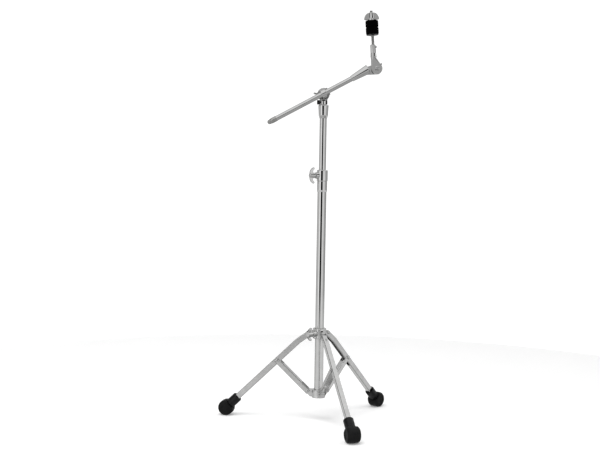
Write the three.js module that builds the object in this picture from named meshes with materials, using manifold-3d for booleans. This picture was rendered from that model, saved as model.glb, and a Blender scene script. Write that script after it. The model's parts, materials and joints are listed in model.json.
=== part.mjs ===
// Cymbal boom stand: a folding tripod base, a sliding mast, a ratchet boom and a cymbal tilter.
// Millimetres, +Z up. The scene graph is built about the tube axis and then moved so that
// the origin lies on the floor under the middle of the whole stand.
import * as THREE from "three";
import { mergeVertices } from "three/addons/utils/BufferGeometryUtils.js";
import { ConvexGeometry } from "three/addons/geometries/ConvexGeometry.js";
import Module from "manifold-3d";

const wasm = await Module();
wasm.setup();

// ---------------------------------------------------------------- driving dimensions
const GAP = 0.3;
const TUBE_STEPS = 20;
const SMALL_STEPS = 10;
const degrees = THREE.MathUtils.degToRad;

const LEG_AZIMUTHS = { left: degrees(169.5), front: degrees(289.5), rear: degrees(49.5) };

// Tubes
const BASE_R = 12.7;
const BASE_WALL = 1.5;
const MAST_R = 10;
const MAST_WALL = 1.2;
const BOOM_R = 7.15;
const BOOM_WALL = 1.2;
const BASE_BOTTOM_Z = 71.3;
const BASE_TOP_Z = 690;
const MAST_BOTTOM_Z = 300;

// Folding linkage: two equal links meet at the knee, where the brace is pinned to the leg
const PIVOT_R = 31.4;
const LINK = 122.3;
const OPEN_ANGLE = degrees(47.3);
const HUB_PIVOT_Z = 83.2;
const KNEE_R = PIVOT_R + LINK * Math.sin(OPEN_ANGLE);
const KNEE_Z = HUB_PIVOT_Z + LINK * Math.cos(OPEN_ANGLE);
const COLLAR_PIVOT_Z = HUB_PIVOT_Z + 2 * LINK * Math.cos(OPEN_ANGLE);
const HUB_EAR_END = 6;
const HUB_R = 19.5;
const HUB_BOTTOM_Z = 66;
const PIN_R = 3;
const PIN_HEAD_R = 5;
const PIN_HEAD_H = 2;

// Legs: pressed channels, closed into a tube towards the foot
const LEG_WIDTH = 14;
const LEG_DEPTH = 16.5;
const LEG_WALL = 1.6;
const LEG_TOP_SLOPE = degrees(37);
const LEG_BEND_R = 63;
const WEB_START = 9;
const CLOSED_FROM_KNEE = 34;

// Braces: wider channels that straddle the legs
const BRACE_WIDTH = 17.8;
const BRACE_DEPTH = 15;
const BRACE_WALL = 1.5;
const BRACE_WEB_FROM_HUB = 27;
const BRACE_WEB_TO_KNEE = 18;

// Feet: a rubber barrel lying across the leg, on a plastic socket
const FOOT_R = 270.2;
const FOOT_Z = 22.1;
const BARREL_R = 22.5;
const BARREL_WIDTH = 37;
const BARREL_EDGE = 8;
const SHOULDER = 15.3;
const SOCKET_R = 14;
const SOCKET_BORE = 11.2;
const SOCKET_FLOOR = 20.5;
const SOCKET_TOP = 47;
const STEM_R = 8;

// Leg collar
const COLLAR_R = 19;
const COLLAR_HALF = 15;
const COLLAR_BORE = 14.9;
const COLLAR_EAR_END = 6.5;
const COLLAR_SCREW_AZIMUTH = degrees(229.5);
const COLLAR_SCREW_X = 33;

// Height clamp
const CLAMP_BOTTOM_Z = 650;
const CLAMP_STEP_Z = 680;
const CLAMP_TOP_Z = 712;
const CLAMP_R = 15.5;
const CLAMP_SLEEVE_R = 14.25;
const CLAMP_BUSH_R = 12.4;
const CLAMP_SCREW_Z = 696;
const CLAMP_SCREW_AZIMUTH = degrees(207);

// Boom tilter: the ferrule caps the mast and carries the tilter on a spigot
const TILTER_Z = 925;
const FERRULE_BOTTOM_Z = 857;
const FERRULE_TOP_Z = 895;
const FERRULE_R = 14.5;
const SPIGOT_R = 5;
const MAST_TOP_Z = 884.7;
const HOLDER_FACE = -2.3;
const HOLDER_R = 17.5;
const LUG_R = 16.5;
const LUG_BACK = 10;
const EYE_R = 11.8;
const EYE_HALF = 7;
const CLAMP_SCREW_DROP = -22.8;
const CLAMP_SCREW_R = 2.5;
const LOCK_HEAD_R = 5.8;

// Boom, measured along the tube from the tilter's pivot
const BOOM_Y = -23;
const BOOM_ANGLE = degrees(28.6);
const BOOM_BACK = -177;
const BOOM_FRONT = 162.5;
const BOOM_DROP = 8.5;
const BOOM_HEAD_START = 88;
const BOOM_TUBE_END = 120;
const BOOM_SHOULDER = 141.8;
const LUG_THICKNESS = 9;
const HEAD_LUG_R = 15;
const END_CAP_LENGTH = 28;
const TUBE_IN_CAP = 14;

// Cymbal tilter, measured along the rod from the pivot bolt
const ROD_LEAN = degrees(4.3);
const ROD_X = -6.8;
const ROD_Y = -3;
const ARM_DISC_R = 15.5;
const ARM_FRONT = -10.8;
const ARM_WAIST = 32;
const ARM_NECK_R = 8.6;
const ARM_TOP = 67.5;
const SEAT_BOTTOM = 93.7;
const FELT_R = 18;
const FELT_THICKNESS = 19;
const ROD_TIP = 161.2;

// Turns of the two nuts about their bolts, in degrees
const TILTER_NUT_TURN = 170;
const BOLT_NUT_TURN = 148;

// Threads of the rod and of every hand-turned clamp, and the lift of a two-winged nut's wings
const THREAD_R = 4;
const WING_THICKNESS = 5;
const WING_TIP_R = 3.4;
const WING_FOOT = 1.5;
const NUT_LIFT = degrees(18);

// ---------------------------------------------------------------- materials
const finish = (color, roughness, metalness) =>
  new THREE.MeshStandardMaterial({ color, roughness, metalness });
const chrome = finish(0xc9ccd0, 0.1, 1);
const pressedSteel = finish(0xb9bbbe, 0.28, 1);
const darkZinc = finish(0x7c7c7a, 0.35, 1);
const blackSteel = finish(0x1c1c1e, 0.4, 0.8);
const rubber = finish(0x141415, 0.75, 0);
const blackPlastic = finish(0x19191b, 0.5, 0);
const nylon = finish(0xd8d6cc, 0.55, 0);
const felt = finish(0x0b0b0c, 1, 0);

// ---------------------------------------------------------------- shape helpers
// A closed three.js geometry as a manifold solid, without the flat triangles at a lathe's poles
function solid(geometry) {
  const bare = geometry.clone();
  bare.deleteAttribute("normal");
  bare.deleteAttribute("uv");
  const merged = mergeVertices(bare, 1e-4);
  const corners = merged.index.array;
  const kept = [];
  for (let i = 0; i < corners.length; i += 3) {
    const [a, b, c] = [corners[i], corners[i + 1], corners[i + 2]];
    if (a !== b && b !== c && c !== a) kept.push(a, b, c);
  }
  const vertProperties = new Float32Array(merged.attributes.position.array);
  return new wasm.Manifold(new wasm.Mesh({ numProp: 3, vertProperties, triVerts: new Uint32Array(kept) }));
}

function toGeometry(manifold) {
  const mesh = manifold.getMesh();
  const geometry = new THREE.BufferGeometry();
  geometry.setAttribute("position", new THREE.BufferAttribute(mesh.vertProperties, 3));
  geometry.setIndex(new THREE.BufferAttribute(mesh.triVerts, 1));
  geometry.computeVertexNormals();
  return geometry;
}

const join = (...shapes) => shapes.map(solid).reduce((whole, piece) => whole.add(piece));
const cut = (whole, ...tools) =>
  toGeometry(tools.map(solid).reduce((left, tool) => left.subtract(tool), whole));

// Turned shape about +Z from [radius, height] points, outer side running upwards
function turned(profile, steps = TUBE_STEPS) {
  const points = profile.map(([radius, height]) => new THREE.Vector2(radius, height));
  return new THREE.LatheGeometry(points, steps).rotateX(Math.PI / 2);
}

const ring = (inner, outer, low, high, steps) =>
  turned([[inner, low], [outer, low], [outer, high], [inner, high], [inner, low]], steps);

const cylinder = (radius, low, high, steps = SMALL_STEPS) =>
  turned([[0, low], [radius, low], [radius, high], [0, high]], steps);

// The same turned shapes laid along +Y or +X
const alongY = (geometry) => geometry.rotateX(-Math.PI / 2);
const alongX = (geometry) => geometry.rotateY(Math.PI / 2);

const block = (lowX, highX, lowY, highY, lowZ, highZ) =>
  new THREE.BoxGeometry(highX - lowX, highY - lowY, highZ - lowZ).translate(
    (lowX + highX) / 2, (lowY + highY) / 2, (lowZ + highZ) / 2);

// Plate of the given XZ outline, centred on y = 0
function plate(outline, thickness, arcSteps = 5) {
  const geometry = new THREE.ExtrudeGeometry(outline, {
    depth: thickness, bevelEnabled: false, curveSegments: arcSteps,
  });
  return geometry.translate(0, 0, -thickness / 2).rotateX(Math.PI / 2);
}

// Points of a circle in the plane across an axis, for hulls
function circle(axis, centre, radius, count = 20, squash = 1) {
  return Array.from({ length: count }, (_, i) => {
    const angle = (2 * Math.PI * i) / count;
    const a = radius * Math.cos(angle);
    const b = radius * squash * Math.sin(angle);
    const offset = { x: [0, b, a], y: [a, 0, b], z: [a, b, 0] }[axis];
    return new THREE.Vector3(...offset).add(new THREE.Vector3(...centre));
  });
}

function addPart(parent, name, geometry, material) {
  const mesh = new THREE.Mesh(geometry, material);
  mesh.name = name;
  parent.add(mesh);
  return mesh;
}

function addGroup(parent, position, rotation) {
  const group = new THREE.Group();
  group.position.set(...position);
  group.rotation.set(...rotation);
  parent.add(group);
  return group;
}

// ---------------------------------------------------------------- wing nuts and wing screws
// One wing along +X that droops back towards the hub's base, arched underneath or full down to the
// base, then turned up about the hub by its lift
function wing(spread, height, lift, arched) {
  const reach = spread / 2;
  const underside = arched ? height * 0.35 : WING_FOOT;
  const tipStart = arched ? 190 : 270;
  const tipHeight = WING_TIP_R + WING_FOOT;
  const outline = new THREE.Shape();
  outline.moveTo(0, height);
  outline.lineTo(0, underside);
  outline.lineTo(7, underside);
  if (arched) {
    outline.quadraticCurveTo(reach * 0.58, height * 0.42, reach - 2 * WING_TIP_R + 0.05, WING_TIP_R + 0.9);
  }
  outline.absarc(reach - WING_TIP_R, tipHeight, WING_TIP_R, degrees(tipStart), degrees(370), false);
  outline.quadraticCurveTo(reach * 0.8, height * 0.98, 5, height);
  return plate(outline, WING_THICKNESS, 4).rotateZ(lift);
}

// Hub on +Z with its two wings
function wingHead(spread, height, lift, arched) {
  const hub = turned([
    [0, 0], [8, 0], [8, height * 0.3], [6.2, height - 1], [5.4, height], [0, height],
  ], SMALL_STEPS);
  return [hub, wing(spread, height, lift, arched), wing(spread, height, -lift, arched).rotateZ(Math.PI)];
}

function wingNut(spread, height, lift, arched = true) {
  const bore = cylinder(THREAD_R + GAP, -1, height + 1);
  return cut(join(...wingHead(spread, height, lift, arched)), bore);
}

function wingScrew(spread, height, shankLength) {
  const shank = cylinder(THREAD_R, -shankLength, 1);
  return toGeometry(join(...wingHead(spread, height, 0, true), shank));
}

// ---------------------------------------------------------------- base tube and bottom hub
function hubEar() {
  const ear = new THREE.Shape();
  const root = HUB_R - 4.5;
  const low = HUB_BOTTOM_Z + 2;
  ear.moveTo(root, low);
  ear.lineTo(HUB_R + 3.5, low);
  ear.absarc(PIVOT_R, HUB_PIVOT_Z, HUB_EAR_END, degrees(-50), degrees(90), false);
  ear.lineTo(root, HUB_PIVOT_Z + HUB_EAR_END);
  return plate(ear, LEG_WIDTH - 2 * GAP);
}

function bottomHub() {
  const ears = Object.values(LEG_AZIMUTHS).map((azimuth) => hubEar().rotateZ(azimuth));
  const top = HUB_PIVOT_Z + HUB_EAR_END;
  const bore = cylinder(BASE_R + GAP, HUB_BOTTOM_Z - 1, top + 1, TUBE_STEPS);
  const body = cylinder(HUB_R, HUB_BOTTOM_Z, top, TUBE_STEPS);
  return cut(join(body, ...ears), bore);
}

function addBase(stand) {
  const inner = BASE_R - BASE_WALL;
  addPart(stand, "base_tube", ring(inner, BASE_R, BASE_BOTTOM_Z, BASE_TOP_Z), chrome);
  addPart(stand, "bottom_hub", bottomHub(), pressedSteel);
  const plugRim = BASE_BOTTOM_Z - GAP;
  const plug = turned([
    [0, plugRim - 5], [BASE_R - 2.7, plugRim - 5], [BASE_R, plugRim - 3], [BASE_R, plugRim],
    [inner - GAP, plugRim], [inner - GAP, plugRim + 14], [0, plugRim + 14],
  ]);
  addPart(stand, "base_end_plug", plug, blackPlastic);
}

// ---------------------------------------------------------------- height clamp and mast
function heightClampBody() {
  const shell = turned([
    [BASE_R + GAP, CLAMP_BOTTOM_Z], [BASE_R + 0.7, CLAMP_BOTTOM_Z], [CLAMP_SLEEVE_R, CLAMP_BOTTOM_Z + 5],
    [CLAMP_SLEEVE_R, CLAMP_STEP_Z], [CLAMP_R, CLAMP_STEP_Z + 1], [CLAMP_R, CLAMP_TOP_Z - 2.5],
    [CLAMP_R - 0.8, CLAMP_TOP_Z - 0.8], [CLAMP_R - 2.5, CLAMP_TOP_Z], [CLAMP_BUSH_R, CLAMP_TOP_Z],
    [CLAMP_BUSH_R, BASE_TOP_Z + GAP], [BASE_R + GAP, BASE_TOP_Z + GAP], [BASE_R + GAP, CLAMP_BOTTOM_Z],
  ]);
  const bossRoot = BASE_R + 0.5;
  const boss = turned([[0, bossRoot], [10, bossRoot], [9, 21], [8, 22], [0, 22]], 16);
  const screwHole = cylinder(THREAD_R + GAP, bossRoot - 2.2, 24);
  const outwards = (geometry) => alongX(geometry).rotateZ(CLAMP_SCREW_AZIMUTH).translate(0, 0, CLAMP_SCREW_Z);
  return cut(join(shell, outwards(boss)), outwards(screwHole));
}

const clampBush = () => ring(MAST_R + GAP, CLAMP_BUSH_R - GAP, BASE_TOP_Z + 2 * GAP, CLAMP_TOP_Z - 0.5);

function addHeightClamp(stand) {
  addPart(stand, "height_clamp_body", heightClampBody(), chrome);
  addPart(stand, "height_clamp_bush", clampBush(), nylon);
  const side = addGroup(stand, [0, 0, CLAMP_SCREW_Z], [0, 0, CLAMP_SCREW_AZIMUTH]);
  const screw = addPart(side, "height_wing_screw", wingScrew(46, 17, 10.2), chrome);
  screw.position.x = 23;
  screw.rotation.y = Math.PI / 2;
}

function addMast(stand) {
  const inner = MAST_R - MAST_WALL;
  addPart(stand, "mast_tube", ring(inner, MAST_R, MAST_BOTTOM_Z, MAST_TOP_Z), chrome);
  const plugLow = MAST_BOTTOM_Z - 6;
  const plugShoulder = MAST_BOTTOM_Z - GAP;
  const plug = turned([
    [0, plugLow], [8, plugLow], [MAST_R + 0.6, plugLow + 2], [MAST_R + 0.6, plugShoulder],
    [inner - GAP, plugShoulder], [inner - GAP, plugShoulder + 14], [0, plugShoulder + 14],
  ]);
  addPart(stand, "mast_end_plug", plug, blackPlastic);
}

// ---------------------------------------------------------------- leg collar
function collarEar() {
  const root = COLLAR_R - 3;
  const rootHalf = COLLAR_EAR_END + 2.5;
  const ear = new THREE.Shape();
  ear.moveTo(root, COLLAR_PIVOT_Z - rootHalf);
  ear.lineTo(PIVOT_R, COLLAR_PIVOT_Z - COLLAR_EAR_END);
  ear.absarc(PIVOT_R, COLLAR_PIVOT_Z, COLLAR_EAR_END, degrees(-90), degrees(90), false);
  ear.lineTo(root, COLLAR_PIVOT_Z + rootHalf);
  return plate(ear, LEG_WIDTH - 2 * LEG_WALL - 1);
}

function legCollar() {
  const low = COLLAR_PIVOT_Z - COLLAR_HALF;
  const high = COLLAR_PIVOT_Z + COLLAR_HALF;
  const body = turned([
    [0, low], [COLLAR_R - 1.5, low], [COLLAR_R, low + 1.5],
    [COLLAR_R, high - 1.5], [COLLAR_R - 1.5, high], [0, high],
  ]);
  const ears = [];
  const holes = [];
  for (const azimuth of Object.values(LEG_AZIMUTHS)) {
    ears.push(collarEar().rotateZ(azimuth));
    const across = alongY(cylinder(PIN_R + GAP, -8, 8)).translate(PIVOT_R, 0, COLLAR_PIVOT_Z);
    const lockHole = alongX(cylinder(2.2, PIVOT_R + 4.5, PIVOT_R + 8, 16)).translate(0, 0, COLLAR_PIVOT_Z);
    holes.push(across.rotateZ(azimuth), lockHole.rotateZ(azimuth));
  }
  const towardsScrew = (geometry) =>
    alongX(geometry).rotateZ(COLLAR_SCREW_AZIMUTH).translate(0, 0, COLLAR_PIVOT_Z);
  const bossEnd = COLLAR_SCREW_X - 1;
  const bossProfile = [[0, 10], [9.5, 10], [8.5, bossEnd - 1], [7.5, bossEnd], [0, bossEnd]];
  const boss = towardsScrew(turned(bossProfile, 16));
  const screwHole = towardsScrew(cylinder(THREAD_R + GAP, 13, bossEnd + 2));
  const bore = cylinder(COLLAR_BORE, low - 1, high + 1, TUBE_STEPS);
  return cut(join(body, boss, ...ears), bore, screwHole, ...holes);
}

// Straight pin across a joint, with a domed head at each end
function rivet(halfGrip) {
  const inside = halfGrip + GAP;
  const outside = inside + PIN_HEAD_H;
  return alongY(turned([
    [0, -outside], [PIN_HEAD_R - 1.5, -outside], [PIN_HEAD_R, -inside - 0.6], [PIN_HEAD_R, -inside],
    [PIN_R, -inside], [PIN_R, inside],
    [PIN_HEAD_R, inside], [PIN_HEAD_R, inside + 0.6], [PIN_HEAD_R - 1.5, outside], [0, outside],
  ], SMALL_STEPS));
}

function addCollar(stand) {
  addPart(stand, "leg_collar", legCollar(), chrome);
  const bushHalf = COLLAR_HALF - 0.5;
  const bush = ring(BASE_R + GAP, COLLAR_BORE - GAP, COLLAR_PIVOT_Z - bushHalf, COLLAR_PIVOT_Z + bushHalf);
  addPart(stand, "collar_bush", bush, nylon);
  for (const [side, azimuth] of Object.entries(LEG_AZIMUTHS)) {
    const legPlane = addGroup(stand, [0, 0, COLLAR_PIVOT_Z], [0, 0, azimuth]);
    const pin = addPart(legPlane, `leg_pin_${side}`, rivet(LEG_WIDTH / 2), chrome);
    pin.position.x = PIVOT_R;
  }
  const screwSide = addGroup(stand, [0, 0, COLLAR_PIVOT_Z], [0, 0, COLLAR_SCREW_AZIMUTH]);
  const screw = addPart(screwSide, "collar_wing_screw", wingScrew(38, 18, COLLAR_SCREW_X - 15), chrome);
  screw.position.x = COLLAR_SCREW_X;
  screw.rotation.y = Math.PI / 2;
}

// ---------------------------------------------------------------- legs, in the leg's own plane
// Line of the leg's middle: a short shallow stretch at the collar, then straight to the foot
const LOWER_SLOPE = Math.atan2(KNEE_Z - FOOT_Z, FOOT_R - KNEE_R);
const BEND_Z = KNEE_Z + (KNEE_R - LEG_BEND_R) * Math.tan(LOWER_SLOPE);
const TOP_LENGTH = (LEG_BEND_R - PIVOT_R) * Math.cos(LEG_TOP_SLOPE)
  + (COLLAR_PIVOT_Z - BEND_Z) * Math.sin(LEG_TOP_SLOPE);
const KNEE_ALONG = TOP_LENGTH + (KNEE_R - LEG_BEND_R) / Math.cos(LOWER_SLOPE);
const FOOT_ALONG = TOP_LENGTH + (FOOT_R - LEG_BEND_R) / Math.cos(LOWER_SLOPE);

// Point at a distance along the leg from its top pivot, and an offset to its upper side
function legPoint(along, offset) {
  const past = along - TOP_LENGTH;
  const slope = past < 0 ? LEG_TOP_SLOPE : LOWER_SLOPE;
  const atBend = Math.abs(past) < 1e-6;
  const side = atBend ? (LEG_TOP_SLOPE + LOWER_SLOPE) / 2 : slope;
  const reach = atBend ? offset / Math.cos((LOWER_SLOPE - LEG_TOP_SLOPE) / 2) : offset;
  return new THREE.Vector2(
    LEG_BEND_R + past * Math.cos(slope) + reach * Math.sin(side),
    BEND_Z - past * Math.sin(slope) + reach * Math.cos(side));
}

function legBar() {
  const half = LEG_DEPTH / 2;
  const end = FOOT_ALONG - 22;
  const top = legPoint(0, 0);
  const arcStart = Math.PI / 2 - LEG_TOP_SLOPE;
  const outline = new THREE.Shape([
    legPoint(0, -half), legPoint(TOP_LENGTH, -half), legPoint(end, -half),
    legPoint(end, half), legPoint(TOP_LENGTH, half), legPoint(0, half),
  ]);
  outline.absarc(top.x, top.y, half, arcStart, arcStart + Math.PI, false);
  return plate(outline, LEG_WIDTH);
}

function legHollow() {
  const half = LEG_DEPTH / 2;
  const beyond = half + 2;
  const webInside = half - LEG_WALL;
  const closed = KNEE_ALONG + CLOSED_FROM_KNEE;
  const outline = new THREE.Shape([
    legPoint(-20, -beyond), legPoint(TOP_LENGTH, -beyond), legPoint(closed - 13, -beyond),
    legPoint(closed, LEG_WALL - half), legPoint(FOOT_ALONG, LEG_WALL - half), legPoint(FOOT_ALONG, webInside),
    legPoint(TOP_LENGTH, webInside), legPoint(WEB_START, webInside), legPoint(WEB_START, beyond),
    legPoint(-20, beyond),
  ]);
  return plate(outline, LEG_WIDTH - 2 * LEG_WALL);
}

function leg() {
  const pinHole = () => alongY(cylinder(PIN_R + GAP, -LEG_WIDTH, LEG_WIDTH));
  const slotCentre = legPoint(27, LEG_DEPTH / 2);
  const slot = new THREE.Shape();
  slot.absarc(2.8, 0, 2.2, degrees(-90), degrees(90), false);
  slot.absarc(-2.8, 0, 2.2, degrees(90), degrees(270), false);
  const webSlot = new THREE.ExtrudeGeometry(slot, { depth: 8, bevelEnabled: false, curveSegments: 6 })
    .translate(0, 0, -4).rotateY(LEG_TOP_SLOPE).translate(slotCentre.x, 0, slotCentre.y);
  return cut(solid(legBar()), legHollow(), webSlot,
    pinHole().translate(PIVOT_R, 0, COLLAR_PIVOT_Z), pinHole().translate(KNEE_R, 0, KNEE_Z));
}

function addLeg(legPlane, side) {
  addPart(legPlane, `leg_${side}`, leg(), pressedSteel);
  const pin = addPart(legPlane, `brace_pin_${side}`, rivet(BRACE_WIDTH / 2), chrome);
  pin.position.set(KNEE_R, 0, KNEE_Z);
}

// ---------------------------------------------------------------- feet, with +Z up the leg
function footSocket() {
  const body = turned([
    [0, 3], [STEM_R, 3], [STEM_R, SHOULDER + GAP], [SOCKET_R - 1, SHOULDER + GAP], [SOCKET_R, SHOULDER + 2],
    [SOCKET_R, SOCKET_TOP - 2], [SOCKET_R - 1.5, SOCKET_TOP],
    [SOCKET_BORE, SOCKET_TOP], [SOCKET_BORE, SOCKET_FLOOR], [0, SOCKET_FLOOR],
  ]);
  const slot = block(-20, -9, -2, 2, SOCKET_TOP - 13, SOCKET_TOP + 1);
  return cut(solid(body), slot);
}

function rubberFoot() {
  const half = BARREL_WIDTH / 2;
  const flat = half - BARREL_EDGE;
  const rim = BARREL_R - BARREL_EDGE;
  const edge = [0, 30, 60, 90].map(degrees);
  const lower = edge.map((a) => [rim + BARREL_EDGE * Math.sin(a), -flat - BARREL_EDGE * Math.cos(a)]);
  const upper = lower.map(([r, z]) => [r, -z]).reverse();
  const barrel = alongY(turned([[0, -half], ...lower, ...upper, [0, half]]));
  const aboveShoulder = block(-30, 30, -30, 30, SHOULDER, 40);
  const stemHole = cylinder(STEM_R + GAP, 2, 20, 24);
  const floor = block(-60, 60, -60, 60, -FOOT_Z - 20, -FOOT_Z).rotateY(Math.PI / 2 - LOWER_SLOPE);
  return cut(solid(barrel), aboveShoulder, stemHole, floor);
}

function addFoot(legPlane, side) {
  const foot = addGroup(legPlane, [FOOT_R, 0, FOOT_Z], [0, LOWER_SLOPE - Math.PI / 2, 0]);
  addPart(foot, `foot_socket_${side}`, footSocket(), blackPlastic);
  addPart(foot, `rubber_foot_${side}`, rubberFoot(), rubber);
}

// ---------------------------------------------------------------- braces, with +X from hub to knee
function brace() {
  const half = BRACE_DEPTH / 2;
  const outline = new THREE.Shape();
  outline.absarc(LINK, 0, half, degrees(-90), degrees(90), false);
  outline.absarc(0, 0, half, degrees(90), degrees(270), false);
  const inside = half - BRACE_WALL;
  const beyond = half + 2;
  const hollow = new THREE.Shape([
    [-20, -beyond], [LINK + 20, -beyond], [LINK + 20, beyond], [LINK - BRACE_WEB_TO_KNEE, beyond],
    [LINK - BRACE_WEB_TO_KNEE - 3, inside], [BRACE_WEB_FROM_HUB + 3, inside],
    [BRACE_WEB_FROM_HUB, beyond], [-20, beyond],
  ].map(([x, z]) => new THREE.Vector2(x, z)));
  const pinHole = (x) => alongY(cylinder(PIN_R + GAP, -BRACE_WIDTH, BRACE_WIDTH)).translate(x, 0, 0);
  return cut(solid(plate(outline, BRACE_WIDTH)), plate(hollow, BRACE_WIDTH - 2 * BRACE_WALL),
    pinHole(0), pinHole(LINK));
}

// Short rivet through one flange of the brace, head on the +Z side
function braceRivet() {
  const inside = BRACE_WIDTH / 2 - BRACE_WALL;
  const outside = BRACE_WIDTH / 2 + GAP;
  return turned([
    [0, inside], [PIN_R, inside], [PIN_R, outside], [PIN_HEAD_R, outside],
    [PIN_HEAD_R, outside + 0.6], [PIN_HEAD_R - 1.5, outside + PIN_HEAD_H], [0, outside + PIN_HEAD_H],
  ], SMALL_STEPS);
}

function addBrace(legPlane, side) {
  const link = addGroup(legPlane, [PIVOT_R, 0, HUB_PIVOT_Z], [0, OPEN_ANGLE - Math.PI / 2, 0]);
  addPart(link, `brace_${side}`, brace(), pressedSteel);
  addPart(link, `hub_rivet_${side}_1`, alongY(braceRivet()), chrome);
  addPart(link, `hub_rivet_${side}_2`, braceRivet().rotateX(Math.PI / 2), chrome);
}

// ---------------------------------------------------------------- boom tilter, about its pivot
function addFerrule(stand) {
  const spigotTop = TILTER_Z - 22;
  const ferrule = turned([
    [0, MAST_TOP_Z + GAP], [MAST_R + GAP, MAST_TOP_Z + GAP], [MAST_R + GAP, FERRULE_BOTTOM_Z],
    [MAST_R + 0.8, FERRULE_BOTTOM_Z], [13, FERRULE_BOTTOM_Z + 8], [FERRULE_R, FERRULE_TOP_Z - 4],
    [FERRULE_R, FERRULE_TOP_Z - 1.5], [FERRULE_R - 1, FERRULE_TOP_Z],
    [SPIGOT_R, FERRULE_TOP_Z], [SPIGOT_R, spigotTop], [0, spigotTop],
  ]);
  addPart(stand, "tilter_ferrule", ferrule, chrome);
}

function tilterBase() {
  const bottom = FERRULE_TOP_Z + GAP - TILTER_Z;
  const neckR = 9.2;
  const neck = cylinder(neckR, bottom, -12, 20);
  const waist = circle("z", [0, 0, -19], neckR);
  const lugRims = [-1.7, LUG_BACK].flatMap((y) => circle("y", [0, y, 0], LUG_R, TUBE_STEPS));
  const casting = new ConvexGeometry([...waist, ...lugRims]);
  const holderRoom = alongY(turned([
    [0, -40], [20, -40], [20, -7.6], [HOLDER_R + 0.8, -7.6], [HOLDER_R + 0.8, -1.9], [0, -1.9],
  ]));
  const boltHole = alongY(cylinder(THREAD_R + GAP, -40, 40));
  const spigotHole = cylinder(SPIGOT_R + GAP, bottom - 1, -21.5);
  const screwHole = CLAMP_SCREW_R + GAP;
  const screwRoom = alongX(turned([
    [0, SPIGOT_R - 1], [screwHole, SPIGOT_R - 1], [screwHole, 9.3], [6.8, 9.3], [6.8, 25], [0, 25],
  ])).rotateZ(Math.PI).translate(0, 0, CLAMP_SCREW_DROP);
  const lockHole = alongX(cylinder(screwHole, SPIGOT_R - 1, 9)).translate(0, 0, CLAMP_SCREW_DROP);
  const headRoom = LOCK_HEAD_R + 0.5;
  const lockRoom = block(6.4, 25, -15, headRoom, CLAMP_SCREW_DROP - headRoom, CLAMP_SCREW_DROP + headRoom);
  return cut(join(neck, casting), holderRoom, boltHole, spigotHole, screwRoom, lockHole, lockRoom);
}

function tilterClampScrew() {
  const point = SPIGOT_R + 2 * GAP;
  return turned([
    [0, point], [CLAMP_SCREW_R, point], [CLAMP_SCREW_R, 9.6], [6.3, 9.6],
    [6.3, 17], [5.3, 18.5], [3, 18.5], [3, 14.5], [0, 14.5],
  ], 12);
}

// Shorter black screw in a pocket on the other side of the neck
function tilterLockScrew() {
  const point = SPIGOT_R + 2 * GAP;
  return turned([
    [0, point], [CLAMP_SCREW_R, point], [CLAMP_SCREW_R, 6.7], [LOCK_HEAD_R, 6.7],
    [LOCK_HEAD_R, 10.4], [LOCK_HEAD_R - 0.6, 11], [0, 11],
  ], 12);
}

function boomHolder() {
  const disc = alongY(cylinder(HOLDER_R, -9, HOLDER_FACE, TUBE_STEPS));
  const jaws = block(-16, 16, BOOM_Y + 1.5, -8, -10.5, 10.5);
  const boomBore = alongX(cylinder(BOOM_R + GAP, -30, 30, TUBE_STEPS)).translate(0, BOOM_Y, 0);
  const room = EYE_HALF + 0.4;
  const eyeRoom = alongX(cylinder(EYE_R + 0.4, -room, room, TUBE_STEPS)).translate(0, BOOM_Y, 0);
  const boltHole = alongY(cylinder(THREAD_R + GAP, -40, 40));
  return cut(join(disc, jaws), boomBore, eyeRoom, boltHole);
}

function tilterEyebolt() {
  const eye = alongX(ring(BOOM_R + GAP, EYE_R, -EYE_HALF, EYE_HALF)).translate(0, BOOM_Y, 0);
  const shank = alongY(cylinder(THREAD_R, BOOM_Y + 8.5, 33));
  return toGeometry(join(eye, shank));
}

function addBoomTilter(stand) {
  const tilter = addGroup(stand, [0, 0, TILTER_Z], [0, 0, 0]);
  addPart(tilter, "tilter_base", tilterBase(), chrome);
  const clampScrew = addPart(tilter, "tilter_clamp_screw", alongX(tilterClampScrew()), blackSteel);
  clampScrew.position.z = CLAMP_SCREW_DROP;
  clampScrew.rotation.z = Math.PI;
  const lockScrew = addPart(tilter, "tilter_lock_screw", alongX(tilterLockScrew()), blackSteel);
  lockScrew.position.z = CLAMP_SCREW_DROP;

  const boomLine = addGroup(tilter, [0, 0, 0], [0, -BOOM_ANGLE, 0]);
  addPart(boomLine, "boom_holder", boomHolder(), chrome);
  addPart(boomLine, "tilter_eyebolt", tilterEyebolt(), chrome);
  const washer = alongY(ring(THREAD_R + GAP, 9, LUG_BACK + GAP, LUG_BACK + 1.9, SMALL_STEPS));
  addPart(boomLine, "tilter_washer", washer, pressedSteel);
  const nut = addPart(tilter, "tilter_wing_nut", wingNut(58, 18, NUT_LIFT), chrome);
  nut.position.y = LUG_BACK + 2.2;
  nut.rotation.set(-Math.PI / 2, 0, degrees(TILTER_NUT_TURN));
  return boomLine;
}

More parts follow.
